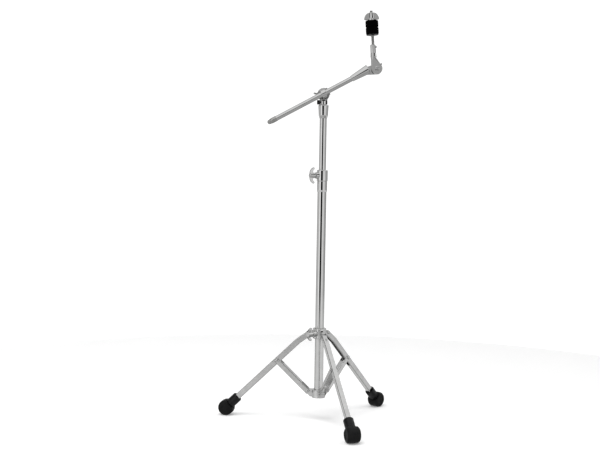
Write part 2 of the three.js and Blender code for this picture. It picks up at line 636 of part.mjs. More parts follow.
// ---------------------------------------------------------------- boom
function boomHead() {
  const flare = new ConvexGeometry([
    ...circle("x", [BOOM_HEAD_START, BOOM_Y, 0], 8.6),
    ...circle("x", [BOOM_HEAD_START + 8, BOOM_Y, 0], 9),
    ...circle("x", [BOOM_SHOULDER, BOOM_Y, 2.25], 13.25, 20, 0.76),
  ]);
  const lugSides = [BOOM_Y + GAP, BOOM_Y + GAP + LUG_THICKNESS];
  const lugRoot = (y) => [-9, 11].map((z) => new THREE.Vector3(BOOM_SHOULDER - 12, y, z));
  const lug = new ConvexGeometry(lugSides.flatMap((y) => [
    ...circle("y", [BOOM_FRONT, y, -BOOM_DROP], HEAD_LUG_R, TUBE_STEPS), ...lugRoot(y),
  ]));
  const tubeBore = alongX(cylinder(BOOM_R + GAP, BOOM_HEAD_START - 1, BOOM_TUBE_END + 0.5, TUBE_STEPS))
    .translate(0, BOOM_Y, 0);
  const boltHole = alongY(cylinder(THREAD_R + GAP, -60, 20)).translate(BOOM_FRONT, 0, -BOOM_DROP);
  return cut(join(flare, lug), tubeBore, boltHole);
}

// Cap pushed over the boom's back end, narrowing to a rounded tip
function boomEndCap() {
  const tipR = BOOM_R - 0.9;
  const capR = BOOM_R + 0.6;
  const open = BOOM_BACK + END_CAP_LENGTH;
  const tip = [90, 70, 50, 30, 10].map((angle) => [
    tipR * Math.cos(degrees(angle)), BOOM_BACK + tipR * (1 - Math.sin(degrees(angle))),
  ]);
  return alongX(turned([
    ...tip, [tipR + 0.2, BOOM_BACK + 8], [capR, BOOM_BACK + TUBE_IN_CAP], [capR, open - 0.6],
    [capR - 0.2, open], [BOOM_R + GAP, open], [BOOM_R + GAP, BOOM_BACK + TUBE_IN_CAP - 0.5],
    [0, BOOM_BACK + TUBE_IN_CAP - 0.5],
  ]));
}

function tilterBolt() {
  const seat = ARM_FRONT - GAP;
  return alongY(turned([
    [0, seat - 4], [5, seat - 4], [6, seat - 3], [6, seat], [THREAD_R, seat], [THREAD_R, 29], [0, 29],
  ], SMALL_STEPS));
}

function addBoom(boomLine) {
  const tube = alongX(ring(BOOM_R - BOOM_WALL, BOOM_R, BOOM_BACK + TUBE_IN_CAP, BOOM_TUBE_END));
  addPart(boomLine, "boom_tube", tube.translate(0, BOOM_Y, 0), chrome);
  addPart(boomLine, "boom_end_cap", boomEndCap().translate(0, BOOM_Y, 0), darkZinc);
  addPart(boomLine, "boom_head", boomHead(), chrome);
  const pivot = addGroup(boomLine, [BOOM_FRONT, BOOM_Y, -BOOM_DROP], [0, BOOM_ANGLE, 0]);
  addPart(pivot, "cymbal_tilter_bolt", tilterBolt(), chrome);
  const nut = addPart(pivot, "cymbal_tilter_wing_nut", wingNut(46, 17, NUT_LIFT), chrome);
  nut.position.y = LUG_THICKNESS + 2 * GAP;
  nut.rotation.set(-Math.PI / 2, 0, degrees(BOLT_NUT_TURN));
  return addGroup(pivot, [0, 0, 0], [0, -ROD_LEAN, 0]);
}

// ---------------------------------------------------------------- cymbal tilter, with +Z up the rod
function tilterArm() {
  const neckX = ROD_X - 0.6;
  const disc = alongY(cylinder(ARM_DISC_R, ARM_FRONT, -GAP, TUBE_STEPS));
  const casting = new ConvexGeometry([
    ...[ARM_FRONT, -GAP].flatMap((y) => circle("y", [0, y, 0], ARM_DISC_R - 0.3, TUBE_STEPS)),
    ...circle("z", [neckX, ROD_Y, ARM_WAIST], ARM_NECK_R),
  ]);
  const neck = turned([
    [0, ARM_WAIST - 2], [ARM_NECK_R, ARM_WAIST], [ARM_NECK_R - 0.8, ARM_WAIST + 12],
    [ARM_NECK_R - 1, ARM_TOP - 1.5], [ARM_NECK_R - 2.4, ARM_TOP], [0, ARM_TOP],
  ], 20).translate(neckX, ROD_Y, 0);
  const lugRoom = alongY(cylinder(25, -GAP, 20, TUBE_STEPS));
  const rodBore = cylinder(THREAD_R + GAP, 39.5, ARM_TOP + 1).translate(ROD_X, ROD_Y, 0);
  const boltHole = alongY(turned([
    [0, -20], [6.6, -20], [6.6, ARM_FRONT], [THREAD_R + GAP, ARM_FRONT], [THREAD_R + GAP, 20], [0, 20],
  ], SMALL_STEPS));
  const screwHole = alongX(cylinder(1.8 + GAP, 3, 9, 12)).translate(ROD_X, ROD_Y, ARM_TOP - 7);
  const frontSlot = block(ROD_X - 2.4, ROD_X + 2.2, -20, -8.2, 25, 36);
  return cut(join(disc, casting, neck), lugRoom, rodBore, boltHole, screwHole, frontSlot);
}

function cymbalRod() {
  return turned([
    [0, 40], [THREAD_R, 40], [THREAD_R, SEAT_BOTTOM - 3], [5.6, SEAT_BOTTOM - 2.4], [5.6, SEAT_BOTTOM - GAP],
    [THREAD_R, SEAT_BOTTOM - GAP], [THREAD_R, ROD_TIP - 1], [THREAD_R - 1, ROD_TIP], [0, ROD_TIP],
  ], SMALL_STEPS);
}

function feltPad(low) {
  const high = low + FELT_THICKNESS;
  const edge = 2;
  return turned([
    [5.9, low], [FELT_R - edge, low], [FELT_R, low + edge], [FELT_R, high - edge], [FELT_R - edge, high],
    [5.9, high], [5.9, low],
  ]);
}

function addCymbalTilter(rodLine) {
  addPart(rodLine, "cymbal_tilter_arm", tilterArm(), chrome);
  const setScrew = alongX(cylinder(1.8, 4.7, 10, 12)).translate(ROD_X, ROD_Y, ARM_TOP - 7);
  addPart(rodLine, "rod_set_screw", setScrew, blackSteel);

  const stack = addGroup(rodLine, [ROD_X, ROD_Y, 0], [0, 0, 0]);
  const lowerFelt = SEAT_BOTTOM + 1.8 + GAP;
  const upperFelt = lowerFelt + FELT_THICKNESS + GAP;
  const nutBottom = upperFelt + FELT_THICKNESS + GAP;
  addPart(stack, "cymbal_rod", cymbalRod(), darkZinc);
  addPart(stack, "seat_washer", ring(THREAD_R + GAP, 16.8, SEAT_BOTTOM, SEAT_BOTTOM + 1.8), blackSteel);
  const sleeve = ring(THREAD_R + GAP, 5.6, lowerFelt, lowerFelt + 30, SMALL_STEPS);
  addPart(stack, "cymbal_sleeve", sleeve, blackPlastic);
  addPart(stack, "lower_felt", feltPad(lowerFelt), felt);
  addPart(stack, "upper_felt", feltPad(upperFelt), felt);
  const nut = addPart(stack, "top_wing_nut", wingNut(42, 22, 0, false), chrome);
  nut.position.z = nutBottom;
}

// ---------------------------------------------------------------- assembly
const stand = new THREE.Group();
addBase(stand);
addHeightClamp(stand);
addMast(stand);
addCollar(stand);
for (const [side, azimuth] of Object.entries(LEG_AZIMUTHS)) {
  const legPlane = addGroup(stand, [0, 0, 0], [0, 0, azimuth]);
  addLeg(legPlane, side);
  addFoot(legPlane, side);
  addBrace(legPlane, side);
}
addFerrule(stand);
const boomLine = addBoomTilter(stand);
const rodLine = addBoom(boomLine);
addCymbalTilter(rodLine);

// Origin on the floor under the middle of the stand's outline
const outline = new THREE.Box3().setFromObject(stand, true);
const middle = outline.getCenter(new THREE.Vector3());
stand.position.set(-middle.x, -middle.y, -outline.min.z);

const group = new THREE.Group();
group.add(stand);
export default group;
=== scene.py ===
"""Cymbal boom stand: detailed pieces, materials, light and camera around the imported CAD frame."""
import json
import math
from functools import reduce

import bmesh
import bpy
from mathutils import Matrix, Vector, noise


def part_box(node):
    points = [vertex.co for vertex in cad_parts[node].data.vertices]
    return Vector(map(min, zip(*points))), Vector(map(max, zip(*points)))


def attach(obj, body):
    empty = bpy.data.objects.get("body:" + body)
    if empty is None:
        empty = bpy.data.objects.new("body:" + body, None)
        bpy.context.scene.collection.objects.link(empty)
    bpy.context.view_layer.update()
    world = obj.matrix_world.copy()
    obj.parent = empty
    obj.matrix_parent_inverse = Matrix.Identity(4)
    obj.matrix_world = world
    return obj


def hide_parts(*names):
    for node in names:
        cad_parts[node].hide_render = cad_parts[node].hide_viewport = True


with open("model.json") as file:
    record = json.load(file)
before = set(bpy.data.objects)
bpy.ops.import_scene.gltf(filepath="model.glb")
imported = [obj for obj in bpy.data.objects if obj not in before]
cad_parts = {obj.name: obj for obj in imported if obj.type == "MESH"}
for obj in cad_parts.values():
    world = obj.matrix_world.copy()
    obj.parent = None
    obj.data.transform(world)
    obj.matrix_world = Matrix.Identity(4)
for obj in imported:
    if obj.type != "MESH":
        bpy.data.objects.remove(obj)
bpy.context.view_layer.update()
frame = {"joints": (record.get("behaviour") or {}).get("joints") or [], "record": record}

# -------------------------------- facts from the frame
# Pieces are built in millimetres about the tube's axis and then scaled into the row frame.
MM = 0.001
GAP = 0.3
record = frame["record"]
JOINTS = {joint["name"]: joint for joint in frame["joints"]}
BODY_OF = {node: body for body, nodes in record["behaviour"]["bodies"].items() for node in nodes}
SLOT_OF = {part["node"]: part["material_slot"] for part in record["subparts"]}

tube_low, tube_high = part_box("base_tube")
AXIS = Vector(((tube_low.x + tube_high.x) / 2, (tube_low.y + tube_high.y) / 2, 0))
ROW = Matrix.Translation(AXIS) @ Matrix.Scale(MM, 4)


def box_mm(node):
    low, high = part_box(node)
    return (low - AXIS) / MM, (high - AXIS) / MM


def joint_mm(name):
    return (Vector(JOINTS[name]["pos_m"]) - AXIS) / MM


def width(node, axis="x"):
    low, high = box_mm(node)
    return getattr(high, axis) - getattr(low, axis)


BASE_R = width("base_tube") / 2
MAST_R = width("mast_tube") / 2
BOOM_R = width("boom_tube", "y") / 2
BASE_BOTTOM, BASE_TOP = (end.z for end in box_mm("base_tube"))
MAST_BOTTOM, MAST_TOP = (end.z for end in box_mm("mast_tube"))
BASE_WALL = 1.5
THIN_WALL = 1.2

# Folding linkage
SIDES = ("left", "front", "rear")
AZIMUTH = {
    side: math.atan2(-JOINTS[f"leg_{side}_fold"]["axis"][0], JOINTS[f"leg_{side}_fold"]["axis"][1])
    for side in SIDES
}
collar_pivot = joint_mm("leg_left_fold")
knee = joint_mm("brace_left_fold")
PIVOT_R = collar_pivot.xy.length
COLLAR_Z = collar_pivot.z
KNEE_R = knee.xy.length
KNEE_Z = knee.z
HUB_Z = 2 * KNEE_Z - COLLAR_Z
LINK = math.hypot(KNEE_R - PIVOT_R, KNEE_Z - HUB_Z)
OPEN_ANGLE = math.atan2(KNEE_R - PIVOT_R, KNEE_Z - HUB_Z)

# Boom and cymbal tilter
TILTER_Z = joint_mm("boom_tilt").z
BOOM_Y = sum(end.y for end in box_mm("boom_tube")) / 2
boom_axis = JOINTS["boom_slide"]["axis"]
BOOM_ANGLE = math.atan2(boom_axis[2], boom_axis[0])
rod_axis = JOINTS["upper_felt_lift"]["axis"]
ROD_LEAN = math.atan2(-rod_axis[0], rod_axis[2])

# -------------------------------- places of the sub-assemblies
STAND = Matrix.Identity(4)


def turn(angle, axis):
    return Matrix.Rotation(angle, 4, axis)


def shift(x, y, z):
    return Matrix.Translation((x, y, z))


TILTER = shift(0, 0, TILTER_Z)
BOOM_LINE = TILTER @ turn(-BOOM_ANGLE, "Y")
head_pivot = BOOM_LINE.inverted() @ joint_mm("cymbal_tilt")
BOOM_FRONT = head_pivot.x
BOOM_DROP = -head_pivot.z
HEAD = BOOM_LINE @ shift(BOOM_FRONT, BOOM_Y, -BOOM_DROP) @ turn(BOOM_ANGLE, "Y")
ROD_LINE = HEAD @ turn(-ROD_LEAN, "Y")
ROD_X = -6.8
ROD_Y = -3
STACK = ROD_LINE @ shift(ROD_X, ROD_Y, 0)
LEG_PLANE = {side: turn(AZIMUTH[side], "Z") for side in SIDES}

# -------------------------------- dimensions shared by several parts
THREAD_R = 4
PIN_R = 3
PIN_HEAD_R = 5
PIN_HEAD_H = 2
LEG_WIDTH = 14
LEG_DEPTH = 16.5
LEG_WALL = 1.6
BRACE_WIDTH = 17.8
BRACE_DEPTH = 15
BRACE_WALL = 1.5


# -------------------------------- solids in millimetres
def solid(points, faces):
    mesh = bpy.data.meshes.new("solid")
    mesh.from_pydata([tuple(point) for point in points], [], faces)
    mesh.update()
    return mesh


def moved(mesh, matrix):
    mesh.transform(matrix)
    return mesh


def along_x(mesh):
    return moved(mesh, turn(math.pi / 2, "Y"))


def along_y(mesh):
    return moved(mesh, turn(-math.pi / 2, "X"))


def curve(start, bend, end, steps):
    """Points of a quadratic curve between two ends."""
    points = []
    for i in range(steps + 1):
        t = i / steps
        points.append(start * (1 - t) ** 2 + bend * 2 * t * (1 - t) + end * t**2)
    return points


def arc(x, z, radius, start, end, steps):
    """Points of an arc, angles in degrees."""
    angles = [math.radians(start + (end - start) * i / steps) for i in range(steps + 1)]
    return [(x + radius * math.cos(angle), z + radius * math.sin(angle)) for angle in angles]


def softened(profile, size, steps=3):
    """A profile with each of its corners rounded by up to size."""
    closed = profile[0] == profile[-1]
    points = [Vector(point) for point in (profile[:-1] if closed else profile)]
    count = len(points)
    rounded = []
    for i, corner in enumerate(points):
        if not closed and i in (0, count - 1):
            rounded.append(tuple(corner))
            continue
        before = points[i - 1] - corner
        after = points[(i + 1) % count] - corner
        reach = min(size, before.length * 0.45, after.length * 0.45)
        start = corner + before.normalized() * reach
        end = corner + after.normalized() * reach
        rounded += [tuple(point) for point in curve(start, corner, end, steps)]
    if closed:
        rounded.append(rounded[0])
    return rounded


def turned(profile, steps=64):
    """Closed solid turned about +Z from (radius, height) points, outer side running upwards."""
    closed = profile[0] == profile[-1]
    points = []
    rings = []
    for radius, height in profile[:-1] if closed else profile:
        first = len(points)
        if radius < 1e-6:
            points.append((0, 0, height))
            rings.append([first])
            continue
        rings.append(list(range(first, first + steps)))
        for i in range(steps):
            angle = 2 * math.pi * i / steps
            points.append((radius * math.cos(angle), radius * math.sin(angle), height))
    if closed:
        rings.append(rings[0])
    faces = []
    for lower, upper in zip(rings, rings[1:]):
        for i in range(steps):
            j = (i + 1) % steps
            corners = [
                lower[i % len(lower)], lower[j % len(lower)], upper[j % len(upper)], upper[i % len(upper)],
            ]
            face = list(dict.fromkeys(corners))
            if len(face) > 2:
                faces.append(face)
    return solid(points, faces)


def lathe(profile, edge, steps=64):
    """Solid turned about +Z from a profile with softened corners."""
    return turned(softened(profile, edge), steps)


def tube(inner, outer, low, high, edge=0.3, steps=64):
    ring = [(inner, low), (outer, low), (outer, high), (inner, high), (inner, low)]
    return lathe(ring, edge, steps)


def pin(radius, low, high, steps=32):
    """Plain cylinder about +Z, used mostly to cut holes."""
    return turned([(0, low), (radius, low), (radius, high), (0, high)], steps)


def stacked(points, count):
    """Closed solid through rings of count points, each anticlockwise seen from the next ring."""
    faces = [list(reversed(range(count))), list(range(len(points) - count, len(points)))]
    for near in range(0, len(points) - count, count):
        far = near + count
        for i in range(count):
            j = (i + 1) % count
            faces.append([near + i, near + j, far + j, far + i])
    return solid(points, faces)


def block(low, high):
    corners = [(x, y, z) for x in (low[0], high[0]) for y in (low[1], high[1]) for z in (low[2], high[2])]
    faces = [(0, 1, 3, 2), (4, 6, 7, 5), (0, 4, 5, 1), (2, 3, 7, 6), (0, 2, 6, 4), (1, 5, 7, 3)]
    return solid(corners, faces)


def plate(outline, thickness, edge=0.01, steps=1):
    """Plate of an anticlockwise XZ outline, centred on y = 0, with sharp or rounded rims."""
    loop = [Vector(point) for point in outline]
    count = len(loop)
    inward = []
    for i, here in enumerate(loop):
        arriving = (here - loop[i - 1]).normalized()
        leaving = (loop[(i + 1) % count] - here).normalized()
        side = Vector((-arriving.y - leaving.y, arriving.x + leaving.x)).normalized()
        inward.append(side / max(0.5, side.dot(Vector((-arriving.y, arriving.x)))))
    front = []
    for i in range(steps + 1):
        angle = math.pi / 2 * i / steps
        front.append((-thickness / 2 + edge * (1 - math.cos(angle)), edge * (1 - math.sin(angle))))
    layers = front + [(-y, inset) for y, inset in reversed(front)]
    points = []
    for y, inset in layers:
        for here, side in zip(loop, inward):
            place = here + side * inset
            points.append((place.x, y, place.y))
    faces = [list(range(count)), list(reversed(range(len(points) - count, len(points))))]
    for layer in range(len(layers) - 1):
        near = layer * count
        far = near + count
        for i in range(count):
            j = (i + 1) % count
            faces.append([near + i, far + i, far + j, near + j])
    return solid(points, faces)


def circle(axis, centre, radius, squash=1.0, count=48):
    """Points of a circle in the plane across an axis, for hulls."""
    points = []
    for i in range(count):
        angle = 2 * math.pi * i / count
        a = radius * math.cos(angle)
        b = radius * squash * math.sin(angle)
        offset = {"x": (0, b, a), "y": (a, 0, b), "z": (a, b, 0)}[axis]
        points.append(Vector(offset) + Vector(centre))
    return points


def hull(points):
    """The tightest convex solid around the points."""
    work = bmesh.new()
    for point in points:
        work.verts.new(point)
    made = bmesh.ops.convex_hull(work, input=work.verts)
    inside = made["geom_interior"] + made["geom_unused"]
    spare = {part for part in inside if isinstance(part, bmesh.types.BMVert)}
    bmesh.ops.delete(work, geom=list(spare), context="VERTS")
    bmesh.ops.dissolve_limit(work, angle_limit=math.radians(0.5), verts=work.verts, edges=work.edges)
    bmesh.ops.recalc_face_normals(work, faces=work.faces)
    mesh = bpy.data.meshes.new("hull")
    work.to_mesh(mesh)
    work.free()
    return mesh


def rounded_rims(rims, edge):
    """Hull points of discs about Y with rounded rims, from (centre, radius, inward side)."""
    points = []
    for centre, radius, inward in rims:
        for depth, inset in ((0, 1), (0.3, 0.3), (1, 0)):
            middle = Vector(centre) + Vector((0, inward * edge * depth, 0))
            points += circle("y", middle, radius - edge * inset)
    return points


def new_object(name, data):
    made = bpy.data.objects.new(name, data)
    bpy.context.scene.collection.objects.link(made)
    return made


def combined(base, tool, operation):
    """The union, difference or intersection of two solids."""
    pair = [new_object("operand", mesh) for mesh in (base, tool)]
    modifier = pair[0].modifiers.new("combine", "BOOLEAN")
    modifier.operation = operation
    modifier.solver = "MANIFOLD"
    modifier.object = pair[1]
    graph = bpy.context.evaluated_depsgraph_get()
    result = bpy.data.meshes.new_from_object(pair[0].evaluated_get(graph))
    for operand in pair:
        bpy.data.objects.remove(operand)
    return result


def join(*shapes):
    return reduce(lambda whole, shape: combined(whole, shape, "UNION"), shapes)


def cut(whole, *tools):
    return reduce(lambda left, tool: combined(left, tool, "DIFFERENCE"), tools, whole)


def common(whole, limit):
    return combined(whole, limit, "INTERSECT")


# -------------------------------- materials
def new_material(name):
    material = bpy.data.materials.new(name)
    material.use_nodes = True
    tree = material.node_tree
    shader = tree.nodes["Principled BSDF"]
    return material, tree, shader


def fill(tree, made, inputs):
    """Set a node's inputs, by linking the sockets among them and storing the values."""
    for key, value in inputs.items():
        if isinstance(value, bpy.types.NodeSocket):
            tree.links.new(value, made.inputs[key])
        else:
            made.inputs[key].default_value = value


def node(tree, kind, output, inputs, **settings):
    """One output of a new node."""
    made = tree.nodes.new(kind)
    for key, value in settings.items():
        setattr(made, key, value)
    fill(tree, made, inputs)
    return made.outputs[output]


def noise_texture(tree, scale, detail, stretch=(1, 1, 1)):
    """Noise in the row frame's metres, so that it has the same scale on every piece."""
    where = node(tree, "ShaderNodeTexCoord", "Object", {})
    where = node(tree, "ShaderNodeMapping", "Vector", {"Vector": where, "Scale": stretch})
    return node(tree, "ShaderNodeTexNoise", "Fac", {"Vector": where, "Scale": scale, "Detail": detail})


def ramp(tree, source, stops):
    """Colour ramp from (position, colour) stops."""
    made = tree.nodes.new("ShaderNodeValToRGB")
    elements = made.color_ramp.elements
    for element, (position, colour) in zip(elements, (stops[0], stops[-1])):
        element.position = position
        element.color = (*colour, 1)
    for position, colour in stops[1:-1]:
        elements.new(position).color = (*colour, 1)
    tree.links.new(source, made.inputs["Fac"])
    return made.outputs["Color"]


def grey(value):
    return (value, value, value)


def spread(tree, source, low, high, start=0.3, end=0.7):
    """Source between start and end, spread to low and high."""
    inputs = {"Value": source, "From Min": start, "From Max": end, "To Min": low, "To Max": high}
    return node(tree, "ShaderNodeMapRange", "Result", inputs)


def blend(tree, factor, first, second, kind="MIX"):
    """Colour that runs from the first to the second as the factor runs from 0 to 1."""
    inputs = {"Factor": factor, "A": first, "B": second}
    return node(tree, "ShaderNodeMix", "Result", inputs, data_type="RGBA", blend_type=kind)


def bump(tree, source, strength, distance, under=None):
    """Relief for a shader's normal, on top of the relief under it if there is one."""
    inputs = {"Height": source, "Strength": strength, "Distance": distance}
    if under is not None:
        inputs["Normal"] = under
    return node(tree, "ShaderNodeBump", "Normal", inputs)


def plated(name, bright, dull, rough_low, rough_high, ripple):
    """Plated metal: a faint cloudiness, fine polishing lines and a few duller worn specks."""
    material, tree, shader = new_material(name)
    clouds = noise_texture(tree, 38, 5)
    specks = noise_texture(tree, 900, 3)
    haze = noise_texture(tree, 140, 6)
    lines = noise_texture(tree, 1800, 2, (1, 1, 0.06))
    tint = ramp(tree, clouds, [(0.32, dull), (0.62, bright)])
    wear = ramp(tree, specks, [(0.0, grey(1)), (0.72, grey(1)), (0.8, grey(0.85))])
    broad = bump(tree, noise_texture(tree, 45, 2), ripple, 0.0003)
    fill(tree, shader, {
        "Metallic": 1.0,
        "Base Color": blend(tree, 1.0, tint, wear, "MULTIPLY"),
        "Roughness": spread(tree, haze, rough_low, rough_high),
        "Normal": bump(tree, lines, ripple, 0.00001, broad),
    })
    return material


def moulded(name, dark, light, rough_low, rough_high, grain, relief, specular):
    """Plastic, rubber, nylon or blackened steel with a fine pebbled skin."""
    material, tree, shader = new_material(name)
    patches = noise_texture(tree, 55, 5)
    scuffs = noise_texture(tree, 210, 6)
    fill(tree, shader, {
        "Specular IOR Level": specular,
        "Base Color": ramp(tree, patches, [(0.3, dark), (0.7, light)]),
        "Roughness": spread(tree, scuffs, rough_low, rough_high),
        "Normal": bump(tree, noise_texture(tree, grain, 3), relief, 0.0002),
    })
    return material


def felt_material():
    """Pressed wool: near black, with paler stray fibres, a nap and a soft sheen."""
    material, tree, shader = new_material("felt")
    fibres = noise_texture(tree, 1500, 8, (1, 1, 2.2))
    mats = noise_texture(tree, 420, 5)
    stops = [(0.4, grey(0.0004)), (0.62, grey(0.001)), (0.76, grey(0.012))]
    fill(tree, shader, {
        "Specular IOR Level": 0.0,
        "Sheen Weight": 0.01,
        "Sheen Roughness": 0.6,
        "Base Color": ramp(tree, fibres, stops),
        "Roughness": spread(tree, mats, 0.85, 1.0),
        "Normal": bump(tree, fibres, 0.8, 0.0003, bump(tree, mats, 0.7, 0.0006)),
    })
    return material


MATERIALS = {
    "chrome": plated("chrome", (0.66, 0.66, 0.655), (0.61, 0.61, 0.605), 0.03, 0.07, 0.02),
    "pressed_steel": plated("pressed_steel", (0.72, 0.72, 0.715), (0.65, 0.65, 0.645), 0.18, 0.27, 0.08),
    "dark_zinc": plated("dark_zinc", (0.5, 0.5, 0.49), (0.38, 0.38, 0.37), 0.25, 0.38, 0.1),
    "black_steel": moulded(
        "black_steel", (0.004, 0.004, 0.0045), (0.012, 0.012, 0.0125), 0.3, 0.45, 900, 0.1, 0.3
    ),
    "black_plastic": moulded(
        "black_plastic", (0.003, 0.003, 0.0035), (0.008, 0.008, 0.0085), 0.28, 0.42, 1800, 0.15, 0.3
    ),
    "rubber": moulded("rubber", (0.002, 0.002, 0.0022), (0.006, 0.006, 0.0064), 0.45, 0.62, 1400, 0.3, 0.22),
    "nylon": moulded("nylon", (0.62, 0.61, 0.57), (0.7, 0.69, 0.65), 0.4, 0.55, 1200, 0.1, 0.4),
    "felt": felt_material(),
}


# -------------------------------- adding pieces
def add(name, mesh, place=STAND):
    """The finished solid takes the place of a CAD node and rides on that node's body."""
    mesh.transform(ROW @ place)
    mesh.materials.clear()
    mesh.materials.append(MATERIALS[SLOT_OF[name]])
    mesh.shade_smooth()
    mesh.set_sharp_from_angle(angle=math.radians(35))
    piece = new_object(f"{name}_detailed", mesh)
    piece.modifiers.new("even shading", "WEIGHTED_NORMAL").keep_sharp = True
    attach(piece, BODY_OF[name])
    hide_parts(name)
    return piece


# -------------------------------- fasteners
WING_THICKNESS = 5
WING_TIP_R = 3.4
WING_FOOT = 1.5
NUT_LIFT = math.radians(18)


def wing(spread_mm, height, lift, arched):
    """One cast wing along +X, drooping to the hub's base, arched underneath or full down to the base."""
    reach = spread_mm / 2
    underside = height * 0.35 if arched else WING_FOOT
    lower = []
    if arched:
        lower = curve(
            Vector((7, underside)), Vector((reach * 0.58, height * 0.42)),
            Vector((reach - 2 * WING_TIP_R + 0.05, WING_TIP_R + 0.9)), 8,
        )
    tip = arc(reach - WING_TIP_R, WING_TIP_R + WING_FOOT, WING_TIP_R, 190 if arched else 270, 370, 14)
    upper = curve(Vector(tip[-1]), Vector((reach * 0.8, height * 0.98)), Vector((5, height)), 12)
    outline = [(0, height), (0, underside)] + lower + tip[1:] + upper[1:]
    return moved(plate(outline, WING_THICKNESS, 1.4, 4), turn(lift, "Z"))


def wing_head(spread_mm, height, lift, arched):
    hub = [(0, 0), (8, 0), (8, height * 0.3), (6.2, height - 1), (5.4, height), (0, height)]
    left = moved(wing(spread_mm, height, -lift, arched), turn(math.pi, "Z"))
    return [lathe(hub, 1.0, 48), wing(spread_mm, height, lift, arched), left]


def wing_nut(spread_mm, height, lift, arched=True):
    bore = pin(THREAD_R + GAP, -1, height + 1)
    return cut(join(*wing_head(spread_mm, height, lift, arched)), bore)


def wing_screw(spread_mm, height, shank):
    return join(*wing_head(spread_mm, height, 0, True), pin(THREAD_R, -shank, 1))


def threaded(low, high, pitch=1.25, depth=0.45, steps=32):
    """Closed length of screw thread about +Z, fading out at both ends."""
    rows = max(4, round((high - low) / pitch * 8))
    points = []
    for row in range(rows + 1):
        height = low + (high - low) * row / rows
        fade = min(1.0, (height - low) / pitch, (high - height) / pitch)
        for i in range(steps):
            turns = height / pitch - i / steps
            groove = abs(2 * (turns - math.floor(turns)) - 1)
            reach = THREAD_R - depth * groove * fade
            angle = 2 * math.pi * i / steps
            points.append((reach * math.cos(angle), reach * math.sin(angle), height))
    return stacked(points, steps)


def dome(seat):
    """Side of a domed pin head that rests on its seat."""
    angles = [math.radians(degrees) for degrees in (0, 25, 50, 75)]
    return [
        (PIN_HEAD_R * math.cos(angle), seat + 0.5 + (PIN_HEAD_H - 0.5) * math.sin(angle))
        for angle in angles
    ]


def rivet(half_grip):
    """Pin across a joint with a domed head at each end, along Y."""
    inside = half_grip + GAP
    outside = inside + PIN_HEAD_H
    upper = [(PIN_R, inside), (PIN_HEAD_R, inside)] + dome(inside) + [(0, outside)]
    lower = [(r, -z) for r, z in reversed(upper)]
    return along_y(turned(lower + upper, 32))


# -------------------------------- base tube, hub and clamp
HUB_R = 19.5
HUB_BOTTOM = 66
HUB_EAR_END = 5.8
PLUG_DEPTH = 14


def hub_ear():
    root = HUB_R - 4.5
    low = HUB_BOTTOM + 2
    outline = [(root, low), (HUB_R + 3.5, low)] + arc(PIVOT_R, HUB_Z, HUB_EAR_END, -50, 90, 14)
    outline.append((root, HUB_Z + HUB_EAR_END))
    return plate(outline, LEG_WIDTH - 2 * GAP, 0.9, 3)


def bottom_hub():
    top = HUB_Z + HUB_EAR_END
    body = [(0, HUB_BOTTOM), (HUB_R, HUB_BOTTOM), (HUB_R, top), (0, top)]
    ears = [moved(hub_ear(), LEG_PLANE[side]) for side in SIDES]
    groove = tube(HUB_R - 0.6, HUB_R + 2, HUB_Z + 2.4, HUB_Z + 3.2, 0.2)
    barrel = cut(lathe(body, 1.4), groove)
    bore = pin(BASE_R + GAP, HUB_BOTTOM - 1, top + 1, 64)
    return cut(join(barrel, *ears), bore)


def end_plug(tube_bottom, depth, tip_r, side_r, inner_r):
    """Plug under a tube's end, bevelled below and reaching up into the bore."""
    rim = tube_bottom - GAP
    low = rim - depth
    top = rim + PLUG_DEPTH
    profile = [
        (0, low), (tip_r, low), (side_r, low + 2), (side_r, rim), (inner_r, rim), (inner_r, top), (0, top),
    ]
    return lathe(profile, 0.5)


def add_base():
    inner = BASE_R - BASE_WALL
    add("base_tube", tube(inner, BASE_R, BASE_BOTTOM, BASE_TOP, 0.5, 96))
    add("bottom_hub", bottom_hub())
    add("base_end_plug", end_plug(BASE_BOTTOM, 5, BASE_R - 2.7, BASE_R, inner - GAP))


CLAMP_BOTTOM, CLAMP_TOP = (end.z for end in box_mm("height_clamp_body"))
CLAMP_STEP = CLAMP_BOTTOM + 30
CLAMP_R = 15.5
CLAMP_SLEEVE_R = 14.25
CLAMP_BUSH_R = 12.4


def outwards(mesh, azimuth, height):
    """A shape about +Z laid along the radius at an azimuth and height."""
    return moved(along_x(mesh), shift(0, 0, height) @ turn(azimuth, "Z"))


def screw_azimuth(name):
    axis = JOINTS[name]["axis"]
    return math.atan2(axis[1], axis[0])


def height_clamp_body():
    bore = BASE_R + GAP
    shell = [
        (bore, CLAMP_BOTTOM), (BASE_R + 0.9, CLAMP_BOTTOM), (CLAMP_SLEEVE_R, CLAMP_BOTTOM + 5),
        (CLAMP_SLEEVE_R, CLAMP_STEP), (CLAMP_R, CLAMP_STEP + 1), (CLAMP_R, CLAMP_TOP - 1.6),
        (CLAMP_R - 1.6, CLAMP_TOP), (CLAMP_BUSH_R, CLAMP_TOP), (CLAMP_BUSH_R, BASE_TOP + GAP),
        (bore, BASE_TOP + GAP), (bore, CLAMP_BOTTOM),
    ]
    root = BASE_R + 0.6
    boss = [(0, root), (10, root), (9, 21), (8, 22), (0, 22)]
    azimuth = screw_azimuth("height_wing_screw_turn")
    level = joint_mm("height_wing_screw_turn").z
    screw_hole = pin(THREAD_R + GAP, root - 2.4, 24)
    whole = join(lathe(shell, 0.7, 96), outwards(lathe(boss, 0.8, 48), azimuth, level))
    return cut(whole, outwards(screw_hole, azimuth, level))


def add_screw(name, joint_name, mesh):
    """A wing screw on its own joint's place, pointing outwards, its wings upright."""
    place = joint_mm(joint_name)
    azimuth = screw_azimuth(joint_name)
    add(name, mesh, shift(*place) @ turn(azimuth, "Z") @ turn(math.pi / 2, "Y"))


